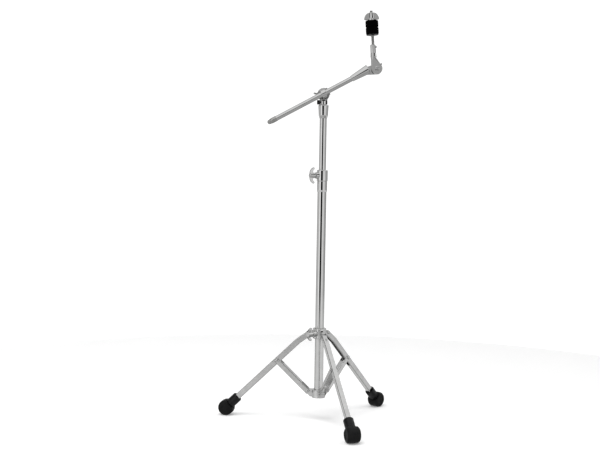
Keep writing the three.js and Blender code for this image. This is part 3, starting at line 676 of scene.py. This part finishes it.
def add_height_clamp():
    add("height_clamp_body", height_clamp_body())
    add("height_clamp_bush", tube(MAST_R + GAP, CLAMP_BUSH_R - GAP, BASE_TOP + 2 * GAP, CLAMP_TOP - 0.5))
    add_screw("height_wing_screw", "height_wing_screw_turn", wing_screw(46, 17, shank=10.2))


def add_mast():
    inner = MAST_R - THIN_WALL
    add("mast_tube", tube(inner, MAST_R, MAST_BOTTOM, MAST_TOP, 0.4, 96))
    add("mast_end_plug", end_plug(MAST_BOTTOM, 5.7, 8, MAST_R + 0.6, inner - GAP))


# -------------------------------- leg collar
COLLAR_R = 19
COLLAR_HALF = 15
COLLAR_BORE = 14.9
COLLAR_EAR_END = 6.5


def collar_ear():
    root = COLLAR_R - 3
    rise = COLLAR_EAR_END + 2.5
    outline = [(root, COLLAR_Z - rise)] + arc(PIVOT_R, COLLAR_Z, COLLAR_EAR_END, -90, 90, 16)
    outline.append((root, COLLAR_Z + rise))
    return plate(outline, LEG_WIDTH - 2 * LEG_WALL - 1, 0.7, 3)


def leg_collar():
    low = COLLAR_Z - COLLAR_HALF
    high = COLLAR_Z + COLLAR_HALF
    bevel = 1.5
    body = [
        (0, low), (COLLAR_R - bevel, low), (COLLAR_R, low + bevel), (COLLAR_R, high - bevel),
        (COLLAR_R - bevel, high), (0, high),
    ]
    shapes = [lathe(body, 0.9, 96)]
    holes = [pin(COLLAR_BORE, low - 1, high + 1, 64)]
    for side in SIDES:
        shapes.append(moved(collar_ear(), LEG_PLANE[side]))
        across = moved(along_y(pin(PIN_R + GAP, -8, 8)), LEG_PLANE[side] @ shift(PIVOT_R, 0, COLLAR_Z))
        lock = outwards(pin(2.2, PIVOT_R + 4.5, PIVOT_R + 8, 24), AZIMUTH[side], COLLAR_Z)
        holes += [across, lock]
    azimuth = screw_azimuth("collar_wing_screw_turn")
    screw_at = joint_mm("collar_wing_screw_turn").xy.length
    boss_end = screw_at - 1
    boss = [(0, 15.5), (9.5, 15.5), (8.5, boss_end - 1), (7.5, boss_end), (0, boss_end)]
    shapes.append(outwards(lathe(boss, 0.7, 48), azimuth, COLLAR_Z))
    holes.append(outwards(pin(THREAD_R + GAP, 13, boss_end + 2), azimuth, COLLAR_Z))
    return cut(join(*shapes), *holes)


def add_collar():
    add("leg_collar", leg_collar())
    half = COLLAR_HALF - 0.5
    add("collar_bush", tube(BASE_R + GAP, COLLAR_BORE - GAP, COLLAR_Z - half, COLLAR_Z + half))
    for side in SIDES:
        add(f"leg_pin_{side}", rivet(LEG_WIDTH / 2), LEG_PLANE[side] @ shift(PIVOT_R, 0, COLLAR_Z))
    reach = joint_mm("collar_wing_screw_turn").xy.length - 15
    add_screw("collar_wing_screw", "collar_wing_screw_turn", wing_screw(38, 18, shank=reach))


# -------------------------------- legs
FOOT_R = (Vector(record["mounts"][0]["pos_m"]) - AXIS).xy.length / MM
BARREL_R = 22.1
LEG_TOP_SLOPE = math.radians(37)
LEG_BEND_R = 63
WEB_START = 9
CLOSED_FROM_KNEE = 34
LEG_END_GAP = 22
WEB_SLOT_ALONG = 27
LOWER_SLOPE = math.atan2(KNEE_Z - BARREL_R, FOOT_R - KNEE_R)
BEND_Z = KNEE_Z + (KNEE_R - LEG_BEND_R) * math.tan(LOWER_SLOPE)
TOP_RUN = (LEG_BEND_R - PIVOT_R) * math.cos(LEG_TOP_SLOPE)
TOP_DROP = (COLLAR_Z - BEND_Z) * math.sin(LEG_TOP_SLOPE)
TOP_LENGTH = TOP_RUN + TOP_DROP
KNEE_ALONG = TOP_LENGTH + (KNEE_R - LEG_BEND_R) / math.cos(LOWER_SLOPE)
FOOT_ALONG = TOP_LENGTH + (FOOT_R - LEG_BEND_R) / math.cos(LOWER_SLOPE)


def leg_point(along, offset):
    """Point at a distance along the leg from its top pivot, and an offset to its upper side."""
    past = along - TOP_LENGTH
    slope = LEG_TOP_SLOPE if past < 0 else LOWER_SLOPE
    side = slope
    reach = offset
    if abs(past) < 1e-6:
        side = (LEG_TOP_SLOPE + LOWER_SLOPE) / 2
        reach = offset / math.cos((LOWER_SLOPE - LEG_TOP_SLOPE) / 2)
    return (
        LEG_BEND_R + past * math.cos(slope) + reach * math.sin(side),
        BEND_Z - past * math.sin(slope) + reach * math.cos(side),
    )


def rounded_section(half_width, half_depth, radius, steps=5):
    """Anticlockwise (across, up) points of a bar's section with rounded corners."""
    section = []
    for corner, (a, b) in enumerate([(1, -1), (1, 1), (-1, 1), (-1, -1)]):
        start = -90 + 90 * corner
        section += arc(a * (half_width - radius), b * (half_depth - radius), radius, start, start + 90, steps)
    return section


def swept(section, stations):
    """Closed bar through stations, each a function from (across, up) to a point."""
    points = [station(across, up) for station in stations for across, up in section]
    return stacked(points, len(section))


def leg_station(along):
    def place(across, up):
        x, z = leg_point(along, up)
        return (x, across, z)
    return place


def leg_outline():
    """Side view of the leg, rounded about its top pivot."""
    half = LEG_DEPTH / 2 + 0.5
    end = FOOT_ALONG - LEG_END_GAP
    top_x, top_z = leg_point(0, 0)
    start = 90 - math.degrees(LEG_TOP_SLOPE)
    corners = [(TOP_LENGTH, -half), (end, -half), (end, half), (TOP_LENGTH, half)]
    sides = [leg_point(along, offset) for along, offset in corners]
    return sides + arc(top_x, top_z, LEG_DEPTH / 2, start, start + 180, 24)


def leg_hollow():
    """Room inside the leg: open underneath down to below the knee, and open round the top pivot."""
    half = LEG_DEPTH / 2
    beyond = half + 2
    inside = half - LEG_WALL
    closed = KNEE_ALONG + CLOSED_FROM_KNEE
    corners = [
        (-20, -beyond), (TOP_LENGTH, -beyond), (closed - 13, -beyond), (closed, -inside),
        (FOOT_ALONG, -inside), (FOOT_ALONG, inside), (TOP_LENGTH, inside), (WEB_START, inside),
        (WEB_START, beyond), (-20, beyond),
    ]
    outline = [leg_point(along, offset) for along, offset in corners]
    return plate(outline, LEG_WIDTH - 2 * LEG_WALL)


def leg():
    """Pressed channel with rounded shoulders, closed into a tube below the knee."""
    section = rounded_section(LEG_WIDTH / 2, LEG_DEPTH / 2, radius=2.6)
    alongs = [-9.5, -1, TOP_LENGTH, KNEE_ALONG, FOOT_ALONG - LEG_END_GAP]
    bar = swept(section, [leg_station(along) for along in alongs])
    bar = common(bar, plate(leg_outline(), LEG_WIDTH + 4))
    slot_r = 2.2
    slot_half = 2.8
    slot = arc(slot_half, 0, slot_r, -90, 90, 10) + arc(-slot_half, 0, slot_r, 90, 270, 10)
    slot_x, slot_z = leg_point(WEB_SLOT_ALONG, LEG_DEPTH / 2)
    slot_place = shift(slot_x, 0, slot_z) @ turn(LEG_TOP_SLOPE, "Y") @ turn(math.pi / 2, "X")
    web_slot = moved(plate(slot, 8), slot_place)
    holes = [
        moved(along_y(pin(PIN_R + GAP, -LEG_WIDTH, LEG_WIDTH)), shift(x, 0, z))
        for x, z in ((PIVOT_R, COLLAR_Z), (KNEE_R, KNEE_Z))
    ]
    return cut(bar, leg_hollow(), web_slot, *holes)


# -------------------------------- braces, +X from hub to knee
BRACE_WEB_FROM_HUB = 27
BRACE_WEB_TO_KNEE = 18


def brace():
    half = BRACE_DEPTH / 2
    inside = half - BRACE_WALL
    beyond = half + 2
    section = rounded_section(BRACE_WIDTH / 2, half, radius=2.4)
    bar = swept(section, [lambda across, up, x=x: (x, across, up) for x in (-half - 2, LINK + half + 2)])
    outline = arc(LINK, 0, half, -90, 90, 20) + arc(0, 0, half, 90, 270, 20)
    bar = common(bar, plate(outline, BRACE_WIDTH + 4))
    web_end = LINK - BRACE_WEB_TO_KNEE
    web_start = BRACE_WEB_FROM_HUB
    hollow = [
        (-20, -beyond), (LINK + 20, -beyond), (LINK + 20, beyond), (web_end, beyond), (web_end - 3, inside),
        (web_start + 3, inside), (web_start, beyond), (-20, beyond),
    ]
    holes = [
        moved(along_y(pin(PIN_R + GAP, -BRACE_WIDTH, BRACE_WIDTH)), shift(x, 0, 0)) for x in (0, LINK)
    ]
    return cut(bar, plate(hollow, BRACE_WIDTH - 2 * BRACE_WALL), *holes)


def brace_rivet():
    inside = BRACE_WIDTH / 2 - BRACE_WALL
    outside = BRACE_WIDTH / 2 + GAP
    profile = [(0, inside), (PIN_R, inside), (PIN_R, outside), (PIN_HEAD_R, outside)]
    profile += dome(outside)
    profile.append((0, outside + PIN_HEAD_H))
    return turned(profile, 32)


# -------------------------------- feet, +Z up the leg
BARREL_WIDTH = 37
BARREL_EDGE = 8
SHOULDER = 15.3
SOCKET_R = 14
SOCKET_BORE = 11.2
SOCKET_FLOOR = 20.5
SOCKET_TOP = 47
STEM_R = 8


def foot_socket():
    """Plastic socket with two grip grooves, its stem in the rubber and its bore round the leg."""
    seat = SHOULDER + GAP
    groove_r = SOCKET_R - 0.5
    profile = [(0, 3), (STEM_R, 3), (STEM_R, seat), (SOCKET_R - 1, seat), (SOCKET_R, SHOULDER + 2)]
    for height in (SHOULDER + 6, SHOULDER + 9):
        profile += [(SOCKET_R, height), (groove_r, height + 0.4)]
        profile += [(groove_r, height + 1.2), (SOCKET_R, height + 1.6)]
    profile += [
        (SOCKET_R, SOCKET_TOP - 2), (SOCKET_R - 1.5, SOCKET_TOP), (SOCKET_BORE, SOCKET_TOP),
        (SOCKET_BORE, SOCKET_FLOOR), (0, SOCKET_FLOOR),
    ]
    slot = block((-20, -2, SOCKET_TOP - 13), (-9, 2, SOCKET_TOP + 1))
    return cut(lathe(profile, 0.6, 64), slot)


def rubber_foot():
    """Barrel lying across the leg, with dished ends and a moulding line pressed flat on the floor."""
    half = BARREL_WIDTH / 2
    flat = half - BARREL_EDGE
    rim = BARREL_R - BARREL_EDGE
    angles = [math.radians(12 * i) for i in range(1, 8)]
    edge = [(rim + BARREL_EDGE * math.sin(angle), -flat - BARREL_EDGE * math.cos(angle)) for angle in angles]
    dish = [(0, 1.4 - half), (9.5, 1.4 - half), (11, -half), (rim, -half)]
    line = [(BARREL_R, -flat), (BARREL_R, -0.8), (BARREL_R + 0.3, -0.3)]
    lower = dish + edge + line
    upper = [(r, -z) for r, z in reversed(lower)]
    barrel = along_y(turned(lower + upper, 96))
    tilt = turn(math.pi / 2 - LOWER_SLOPE, "Y")
    floor = moved(block((-60, -60, -BARREL_R - 20), (60, 60, -BARREL_R)), tilt)
    above = block((-30, -30, SHOULDER), (30, 30, 40))
    return cut(barrel, above, pin(STEM_R + GAP, 2, 20, 48), floor)


def add_legs():
    for side in SIDES:
        plane = LEG_PLANE[side]
        add(f"leg_{side}", leg(), plane)
        add(f"brace_pin_{side}", rivet(BRACE_WIDTH / 2), plane @ shift(KNEE_R, 0, KNEE_Z))
        foot = plane @ shift(FOOT_R, 0, BARREL_R) @ turn(LOWER_SLOPE - math.pi / 2, "Y")
        add(f"foot_socket_{side}", foot_socket(), foot)
        add(f"rubber_foot_{side}", rubber_foot(), foot)
        link = plane @ shift(PIVOT_R, 0, HUB_Z) @ turn(OPEN_ANGLE - math.pi / 2, "Y")
        add(f"brace_{side}", brace(), link)
        add(f"hub_rivet_{side}_1", along_y(brace_rivet()), link)
        add(f"hub_rivet_{side}_2", moved(brace_rivet(), turn(math.pi / 2, "X")), link)


# -------------------------------- boom tilter, about its pivot
FERRULE_BOTTOM = box_mm("tilter_ferrule")[0].z
FERRULE_TOP = FERRULE_BOTTOM + 38
FERRULE_R = 14.5
SPIGOT_R = 5
HOLDER_FACE = -2.3
HOLDER_R = 17.5
LUG_R = 16.5
LUG_BACK = 10
EYE_R = 11.8
EYE_HALF = 7
CLAMP_SCREW_DROP = -22.8
CLAMP_SCREW_R = 2.5
LOCK_HEAD_R = 5.8


def ferrule():
    spigot_top = TILTER_Z - 22
    bore = MAST_R + GAP
    profile = [
        (0, MAST_TOP + GAP), (bore, MAST_TOP + GAP), (bore, FERRULE_BOTTOM), (MAST_R + 0.9, FERRULE_BOTTOM),
        (13, FERRULE_BOTTOM + 8), (FERRULE_R, FERRULE_TOP - 4), (FERRULE_R, FERRULE_TOP - 1.5),
        (FERRULE_R - 1, FERRULE_TOP), (SPIGOT_R, FERRULE_TOP), (SPIGOT_R, spigot_top), (0, spigot_top),
    ]
    return lathe(profile, 0.9, 96)


def tilter_base():
    bottom = FERRULE_TOP + GAP - TILTER_Z
    neck_r = 9.2
    neck = lathe([(0, bottom), (neck_r, bottom), (neck_r, -12), (0, -12)], 0.6, 64)
    casting = hull(
        circle("z", (0, 0, -19), neck_r)
        + rounded_rims([((0, -1.7, 0), LUG_R, 1), ((0, LUG_BACK, 0), LUG_R, -1)], 1.6)
    )
    holder_room = along_y(turned([
        (0, -40), (20, -40), (20, -7.6), (HOLDER_R + 0.8, -7.6), (HOLDER_R + 0.8, -1.9), (0, -1.9),
    ]))
    bolt_hole = along_y(pin(THREAD_R + GAP, -40, 40))
    spigot_hole = pin(SPIGOT_R + GAP, bottom - 1, -21.5)
    hole = CLAMP_SCREW_R + GAP
    screw_room = along_x(turned([
        (0, SPIGOT_R - 1), (hole, SPIGOT_R - 1), (hole, 9.3), (6.8, 9.3), (6.8, 25), (0, 25),
    ], 32))
    screw_room = moved(screw_room, shift(0, 0, CLAMP_SCREW_DROP) @ turn(math.pi, "Z"))
    lock_hole = moved(along_x(pin(hole, SPIGOT_R - 1, 9)), shift(0, 0, CLAMP_SCREW_DROP))
    room = LOCK_HEAD_R + 0.5
    lock_room = block((6.4, -15, CLAMP_SCREW_DROP - room), (25, room, CLAMP_SCREW_DROP + room))
    return cut(join(neck, casting), holder_room, bolt_hole, spigot_hole, screw_room, lock_hole, lock_room)


def clamp_screw():
    point = SPIGOT_R + 2 * GAP
    head_r = 6.3
    profile = [
        (0, point), (CLAMP_SCREW_R, point), (CLAMP_SCREW_R, 9.6), (head_r, 9.6), (head_r, 17),
        (head_r - 1, 18.5), (3, 18.5), (3, 14.5), (0, 14.5),
    ]
    return along_x(lathe(profile, 0.5, 48))


def lock_screw():
    point = SPIGOT_R + 2 * GAP
    profile = [
        (0, point), (CLAMP_SCREW_R, point), (CLAMP_SCREW_R, 6.7), (LOCK_HEAD_R, 6.7), (LOCK_HEAD_R, 10.4),
        (LOCK_HEAD_R - 0.6, 11), (2.4, 11), (2.4, 8.6), (0, 8.6),
    ]
    return along_x(lathe(profile, 0.4, 48))


def toothed_rim(radius, low, high, teeth=40, depth=0.7):
    """Ring of fine ratchet teeth, for joining to a disc about the Y axis."""
    outline = []
    for i in range(teeth):
        start = 360 * i / teeth
        step = 360 / teeth
        for share, reach in ((0, radius), (0.45, radius), (0.6, radius - depth), (0.85, radius - depth)):
            angle = math.radians(start + step * share)
            outline.append((reach * math.cos(angle), reach * math.sin(angle)))
    return moved(plate(outline, high - low, 0.1), shift(0, (low + high) / 2, 0))


def on_boom(mesh):
    """A shape about +Z laid along the boom's own axis."""
    return moved(along_x(mesh), shift(0, BOOM_Y, 0))


def boom_holder():
    front = [
        (0, -9), (HOLDER_R - 1.5, -9), (HOLDER_R, -7.5), (HOLDER_R, -5.6), (HOLDER_R - 1.2, -5.2),
        (HOLDER_R - 1.2, -4.6), (0, -4.6),
    ]
    disc = along_y(lathe(front, 0.6, 96))
    jaws = block((-16, BOOM_Y + 1.5, -10.5), (16, -8, 10.5))
    bore = on_boom(pin(BOOM_R + GAP, -30, 30, 64))
    room = EYE_HALF + 0.4
    eye_room = on_boom(pin(EYE_R + 0.4, -room, room, 64))
    bolt_hole = along_y(pin(THREAD_R + GAP, -40, 40))
    return cut(join(disc, toothed_rim(HOLDER_R - 0.2, -4.8, HOLDER_FACE), jaws), bore, eye_room, bolt_hole)


def eyebolt():
    eye = on_boom(tube(BOOM_R + GAP, EYE_R, -EYE_HALF, EYE_HALF, 1.2))
    shank = along_y(pin(THREAD_R, BOOM_Y + 8.5, 26))
    end = along_y(threaded(25.5, 33))
    return join(eye, shank, end)


def nut_place(joint_name, angle):
    """Place of a wing nut behind its bolt, turned about the bolt."""
    return shift(*joint_mm(joint_name)) @ turn(-math.pi / 2, "X") @ turn(math.radians(angle), "Z")


def add_tilter():
    add("tilter_ferrule", ferrule())
    add("tilter_base", tilter_base(), TILTER)
    add("tilter_clamp_screw", clamp_screw(), TILTER @ shift(0, 0, CLAMP_SCREW_DROP) @ turn(math.pi, "Z"))
    add("tilter_lock_screw", lock_screw(), TILTER @ shift(0, 0, CLAMP_SCREW_DROP))
    add("boom_holder", boom_holder(), BOOM_LINE)
    add("tilter_eyebolt", eyebolt(), BOOM_LINE)
    add("tilter_washer", along_y(tube(THREAD_R + GAP, 9, LUG_BACK + GAP, LUG_BACK + 1.9, 0.4)), BOOM_LINE)
    add("tilter_wing_nut", wing_nut(58, 18, NUT_LIFT), nut_place("tilter_wing_nut_turn", 170))


# -------------------------------- boom
BOOM_BACK = -177
BOOM_TUBE_END = 120
BOOM_HEAD_START = 88
BOOM_SHOULDER = 141.8
LUG_THICKNESS = 9
HEAD_LUG_R = 15
END_CAP_LENGTH = 28
TUBE_IN_CAP = 14
ARM_FRONT = -10.8


def boom_head():
    """Socket flaring from the boom to a flattened shoulder, with a round lug for the rod arm."""
    start = BOOM_HEAD_START
    end = BOOM_SHOULDER
    sections = [
        (start, 0, 8.2, 1), (start + 1, 0, 8.6, 1), (start + 8, 0, 9, 1), (end - 1.6, 2.1, 13.2, 0.76),
        (end, 2.25, 11.8, 0.74),
    ]
    flare = []
    for x, z, radius, squash in sections:
        flare += circle("x", (x, BOOM_Y, z), radius, squash)
    near = BOOM_Y + GAP
    far = near + LUG_THICKNESS
    centre = (BOOM_FRONT, near, -BOOM_DROP)
    rims = rounded_rims([(centre, HEAD_LUG_R, 1), ((BOOM_FRONT, far, -BOOM_DROP), HEAD_LUG_R, -1)], 1.2)
    root = [(end - 12, y, z) for y in (near, far) for z in (-9, 11)]
    tube_bore = on_boom(pin(BOOM_R + GAP, start - 1, BOOM_TUBE_END + 0.5, 64))
    bolt_hole = moved(along_y(pin(THREAD_R + GAP, -60, 20)), shift(BOOM_FRONT, 0, -BOOM_DROP))
    return cut(join(hull(flare), hull(rims + root)), tube_bore, bolt_hole)


def end_cap():
    """Cap about +Z, pushed over the boom's back end and narrowing to a rounded tip."""
    tip_r = BOOM_R - 0.9
    radius = BOOM_R + 0.6
    opening = BOOM_BACK + END_CAP_LENGTH
    shoulder = BOOM_BACK + TUBE_IN_CAP
    tip = arc(0, BOOM_BACK + tip_r, tip_r, -90, -4, 14)
    skirt = [
        (tip_r + 0.2, BOOM_BACK + 8), (radius, shoulder), (radius, opening - 0.3), (radius - 0.2, opening),
        (BOOM_R + GAP, opening), (BOOM_R + GAP, shoulder - 0.5), (0, shoulder - 0.5),
    ]
    return turned(tip + softened(skirt, 0.6))


def head_bolt():
    seat = ARM_FRONT - GAP
    head = [(0, seat - 4), (5, seat - 4), (6, seat - 3), (6, seat), (THREAD_R, seat), (THREAD_R, 22), (0, 22)]
    socket = plate(arc(0, 0, 2.9, 0, 300, 5), 6)
    blank = cut(along_y(lathe(head, 0.6, 48)), moved(socket, shift(0, seat - 4.5, 0)))
    return join(blank, along_y(threaded(21.5, 29)))


def add_boom():
    boom = tube(BOOM_R - THIN_WALL, BOOM_R, BOOM_BACK + TUBE_IN_CAP, BOOM_TUBE_END)
    add("boom_tube", on_boom(boom), BOOM_LINE)
    add("boom_end_cap", on_boom(end_cap()), BOOM_LINE)
    add("boom_head", boom_head(), BOOM_LINE)
    add("cymbal_tilter_bolt", head_bolt(), HEAD)
    add("cymbal_tilter_wing_nut", wing_nut(46, 17, NUT_LIFT), nut_place("cymbal_tilter_wing_nut_turn", 148))


# -------------------------------- cymbal tilter, +Z up the rod
ARM_DISC_R = 15.5
ARM_WAIST = 32
ARM_NECK_R = 8.6
ARM_TOP = 67.5
SEAT_BOTTOM = 93.7
SEAT_R = 16.8
SEAT_THICKNESS = 1.8
SLEEVE_R = 5.6
SLEEVE_LENGTH = 30
FELT_R = 18
FELT_THICKNESS = 19
ROD_TIP = 161.1


def tilter_arm():
    neck_x = ROD_X - 0.6
    rims = rounded_rims([((0, ARM_FRONT, 0), ARM_DISC_R, 1), ((0, -GAP, 0), ARM_DISC_R, -1)], 1.4)
    casting = hull(rims + circle("z", (neck_x, ROD_Y, ARM_WAIST), ARM_NECK_R - 1.1))
    neck = [
        (0, ARM_WAIST - 2), (ARM_NECK_R, ARM_WAIST), (ARM_NECK_R - 0.8, ARM_WAIST + 12),
        (ARM_NECK_R - 1, ARM_TOP - 1.5), (ARM_NECK_R - 2.4, ARM_TOP), (0, ARM_TOP),
    ]
    neck = moved(lathe(neck, 1.0), shift(neck_x, ROD_Y, 0))
    lug_room = along_y(pin(25, -GAP, 20, 64))
    bore = moved(pin(THREAD_R + GAP, 39.5, ARM_TOP + 1), shift(ROD_X, ROD_Y, 0))
    bolt_hole = along_y(turned([
        (0, -20), (6.6, -20), (6.6, ARM_FRONT), (THREAD_R + GAP, ARM_FRONT), (THREAD_R + GAP, 20), (0, 20),
    ], 32))
    screw_hole = moved(along_x(pin(1.8 + GAP, 3, 9, 24)), shift(ROD_X, ROD_Y, ARM_TOP - 7))
    slot = block((ROD_X - 2.4, -20, 25), (ROD_X + 2.2, -8.2, 36))
    return cut(join(casting, neck), lug_room, bore, bolt_hole, screw_hole, slot)


def cymbal_rod():
    """Rod with a shoulder as wide as the sleeve, threaded where it shows and at its tip."""
    rod = [
        (0, 40), (THREAD_R, 40), (THREAD_R, SEAT_BOTTOM - 3), (SLEEVE_R, SEAT_BOTTOM - 2.4),
        (SLEEVE_R, SEAT_BOTTOM - GAP), (THREAD_R, SEAT_BOTTOM - GAP), (THREAD_R, ROD_TIP - 9),
        (0, ROD_TIP - 9),
    ]
    visible = threaded(ARM_TOP - 2, SEAT_BOTTOM - 2.6)
    thread_room = tube(THREAD_R - 0.5, THREAD_R + 1, ARM_TOP - 1.9, SEAT_BOTTOM - 2.7, 0.01)
    core = cut(lathe(rod, 0.4, 48), thread_room)
    return join(core, visible, threaded(ROD_TIP - 9.5, ROD_TIP))


def felt_pad(low):
    """Pressed felt washer: soft corners, slightly barrelled sides and an uneven matted skin."""
    high = low + FELT_THICKNESS
    half = FELT_THICKNESS / 2
    middle = (low + high) / 2
    bore = SLEEVE_R + GAP
    ring = [(bore, low), (FELT_R, low), (FELT_R, high), (bore, high), (bore, low)]
    rounded = softened(ring, 2.6, 6)
    fine = []
    for (r0, z0), (r1, z1) in zip(rounded, rounded[1:]):
        pieces = max(1, round(math.hypot(r1 - r0, z1 - z0) / 0.8))
        fine += [(r0 + (r1 - r0) * k / pieces, z0 + (z1 - z0) * k / pieces) for k in range(pieces)]
    mesh = turned(fine + [fine[0]], 140)
    for vertex in mesh.vertices:
        place = vertex.co
        radius = place.xy.length
        outer = max(0.0, min(1.0, (radius - 8) / 6))
        barrel = 1 - ((place.z - middle) / half) ** 2
        rough = 0.22 * noise.noise(place * 0.35) + 0.12 * noise.noise(place * 1.1)
        outwards_mm = outer * (0.15 * barrel - 0.25 + rough)
        place.xy *= 1 + outwards_mm / radius
        inward = 0.25 * outer + 0.18 * noise.noise(place * 0.5 + Vector((9, 4, 2)))
        place.z -= math.copysign(max(0.0, inward), place.z - middle) * abs(place.z - middle) / half
    return mesh


def add_cymbal_tilter():
    add("cymbal_tilter_arm", tilter_arm(), ROD_LINE)
    set_screw = moved(along_x(tube(0.8, 1.8, 4.7, 10, 0.3, 32)), shift(ROD_X, ROD_Y, ARM_TOP - 7))
    add("rod_set_screw", set_screw, ROD_LINE)
    lower = SEAT_BOTTOM + SEAT_THICKNESS + GAP
    upper = lower + FELT_THICKNESS + GAP
    add("cymbal_rod", cymbal_rod(), STACK)
    seat = tube(THREAD_R + GAP, SEAT_R, SEAT_BOTTOM, SEAT_BOTTOM + SEAT_THICKNESS, 0.5)
    add("seat_washer", seat, STACK)
    add("cymbal_sleeve", tube(THREAD_R + GAP, SLEEVE_R, lower, lower + SLEEVE_LENGTH), STACK)
    for name, low in (("lower_felt", lower), ("upper_felt", upper)):
        add(name, felt_pad(low), STACK)
    nut = wing_nut(42, 22, lift=0, arched=False)
    add("top_wing_nut", nut, STACK @ shift(0, 0, upper + FELT_THICKNESS + GAP))


add_base()
add_height_clamp()
add_mast()
add_collar()
add_legs()
add_tilter()
add_boom()
add_cymbal_tilter()

# -------------------------------- camera, at the photograph's place
CAMERA_DISTANCE = 2.865
CAMERA_HEIGHT = 0.658
PITCH = 0.0358
YAW = -0.0211
ROLL = 0.0169
FOCAL_PIXELS = 1013
SENSOR_MM = 36
IMAGE_WIDTH = 600


def add_camera():
    data = bpy.data.cameras.new("camera")
    data.sensor_width = SENSOR_MM
    data.lens = FOCAL_PIXELS * SENSOR_MM / IMAGE_WIDTH
    camera = new_object("camera", data)
    ahead = Vector((math.sin(YAW) * math.cos(PITCH), math.cos(YAW) * math.cos(PITCH), -math.sin(PITCH)))
    level = Vector((math.cos(YAW), -math.sin(YAW), 0))
    above = level.cross(ahead)
    right = level * math.cos(ROLL) + above * math.sin(ROLL)
    up = above * math.cos(ROLL) - level * math.sin(ROLL)
    facing = Matrix((right, up, -ahead)).transposed().to_4x4()
    camera.matrix_world = shift(AXIS.x, AXIS.y - CAMERA_DISTANCE, CAMERA_HEIGHT) @ facing
    bpy.context.scene.camera = camera


# -------------------------------- floor and light
FLOOR_R = 1.7
FLOOR_DEPTH = 0.02


def add_floor():
    """Round sheet of white paper that reflections don't show."""
    floor = new_object("floor", pin(FLOOR_R, -FLOOR_DEPTH, 0, 128))
    floor.location = AXIS
    floor.visible_glossy = False
    material, tree, shader = new_material("floor")
    paper = noise_texture(tree, 6, 3)
    fill(tree, shader, {
        "Base Color": ramp(tree, paper, [(0.3, grey(0.93)), (0.7, grey(0.95))]),
        "Specular IOR Level": 0.1,
        "Roughness": 0.9,
        "Emission Color": (1, 1, 1, 1),
        "Emission Strength": 0.2,
    })
    floor.data.materials.append(material)


def studio_walls(tree):
    """Colour of grey and dark panels round the stand.

    They are set by a ray's bearing, which is 0 towards the camera, and by how far it rises or
    falls. The darkest is a doorway behind the camera.
    """
    split = tree.nodes.new("ShaderNodeSeparateXYZ")
    tree.links.new(node(tree, "ShaderNodeTexCoord", "Generated", {}), split.inputs["Vector"])
    x, y, rise = split.outputs
    frontwards = node(tree, "ShaderNodeMath", "Value", {0: y, 1: -1}, operation="MULTIPLY")
    bearing = node(tree, "ShaderNodeMath", "Value", {0: x, 1: frontwards}, operation="ARCTAN2")
    share = spread(tree, bearing, 0, 1, -math.pi, math.pi)

    def panels(*stops):
        """Grey levels round the stand from (bearing in degrees, level) pairs."""
        return ramp(tree, share, [(0.5 + degrees / 360, grey(level)) for degrees, level in stops])

    level = panels(
        (-180, 0.4), (-100, 0.55), (-66, 0.6), (-56, 1.0), (-31, 1.0), (-26, 0.0), (12, 0.0), (17, 0.8),
        (60, 0.78), (72, 0.45), (140, 0.33), (180, 0.4),
    )
    near_floor = panels((-180, 0.6), (-60, 0.72), (-30, 0.8), (-12, 0.6), (12, 0.6), (30, 0.8), (180, 0.6))
    above = panels(
        (-180, 0.45), (-100, 0.4), (-62, 0.35), (-52, 0.75), (-30, 0.75), (-24, 0.42), (12, 0.42),
        (18, 0.6), (60, 0.55), (75, 0.3), (180, 0.45),
    )
    high_sides = panels(
        (-180, 0.5), (-122, 0.7), (-114, 0.01), (-66, 0.01), (-58, 0.8), (8, 0.85), (14, 0.02),
        (62, 0.02), (70, 0.95), (110, 0.9), (180, 0.5),
    )
    ceiling = panels(
        (-180, 0.5), (-130, 0.4), (-90, 0.75), (-20, 0.85), (60, 0.8), (150, 0.65), (180, 0.5),
    )
    below = panels(
        (-180, 0.6), (-135, 0.65), (-115, 0.06), (-85, 0.1), (-65, 0.5), (0, 0.5), (30, 0.4),
        (100, 0.2), (150, 0.25), (180, 0.6),
    )
    underfoot = panels((-180, 0.5), (180, 0.5))

    def zones(low, high, lower, upper):
        """The lower walls, changing to the upper ones as a ray's rise goes from low to high."""
        return blend(tree, spread(tree, rise, 0, 1, low, high), lower, upper)

    down = zones(-0.86, -0.78, underfoot, below)
    lowest = zones(-0.36, -0.24, down, near_floor)
    middle = zones(-0.15, -0.1, lowest, level)
    upper = zones(0.24, 0.28, above, high_sides)
    highest = zones(0.7, 0.74, upper, ceiling)
    return zones(0.088, 0.1, middle, highest)


def add_world():
    """White for the camera, and the studio walls for reflections and for the light they give."""
    world = bpy.data.worlds.new("studio")
    bpy.context.scene.world = world
    world.use_nodes = True
    tree = world.node_tree
    to_camera = node(tree, "ShaderNodeLightPath", "Is Camera Ray", {})
    colour = blend(tree, to_camera, studio_walls(tree), (1, 1, 1, 1))
    fill(tree, tree.nodes["Background"], {"Color": colour, "Strength": 1.12})
    bpy.context.scene.view_settings.view_transform = "Standard"


LAMP_SIZE = 1.6
LAMP_WATTS = 30
LAMP_PLACE = shift(AXIS.x - 0.6, AXIS.y - 0.8, 2.6)
LAMP_FACING = turn(math.radians(-15), "Y") @ turn(math.radians(18), "X")


def add_lamp():
    data = bpy.data.lights.new("softbox", "AREA")
    data.shape = "DISK"
    data.size = LAMP_SIZE
    data.energy = LAMP_WATTS
    lamp = new_object("softbox", data)
    lamp.visible_glossy = False
    lamp.matrix_world = LAMP_PLACE @ LAMP_FACING


add_camera()
add_floor()
add_world()
add_lamp()
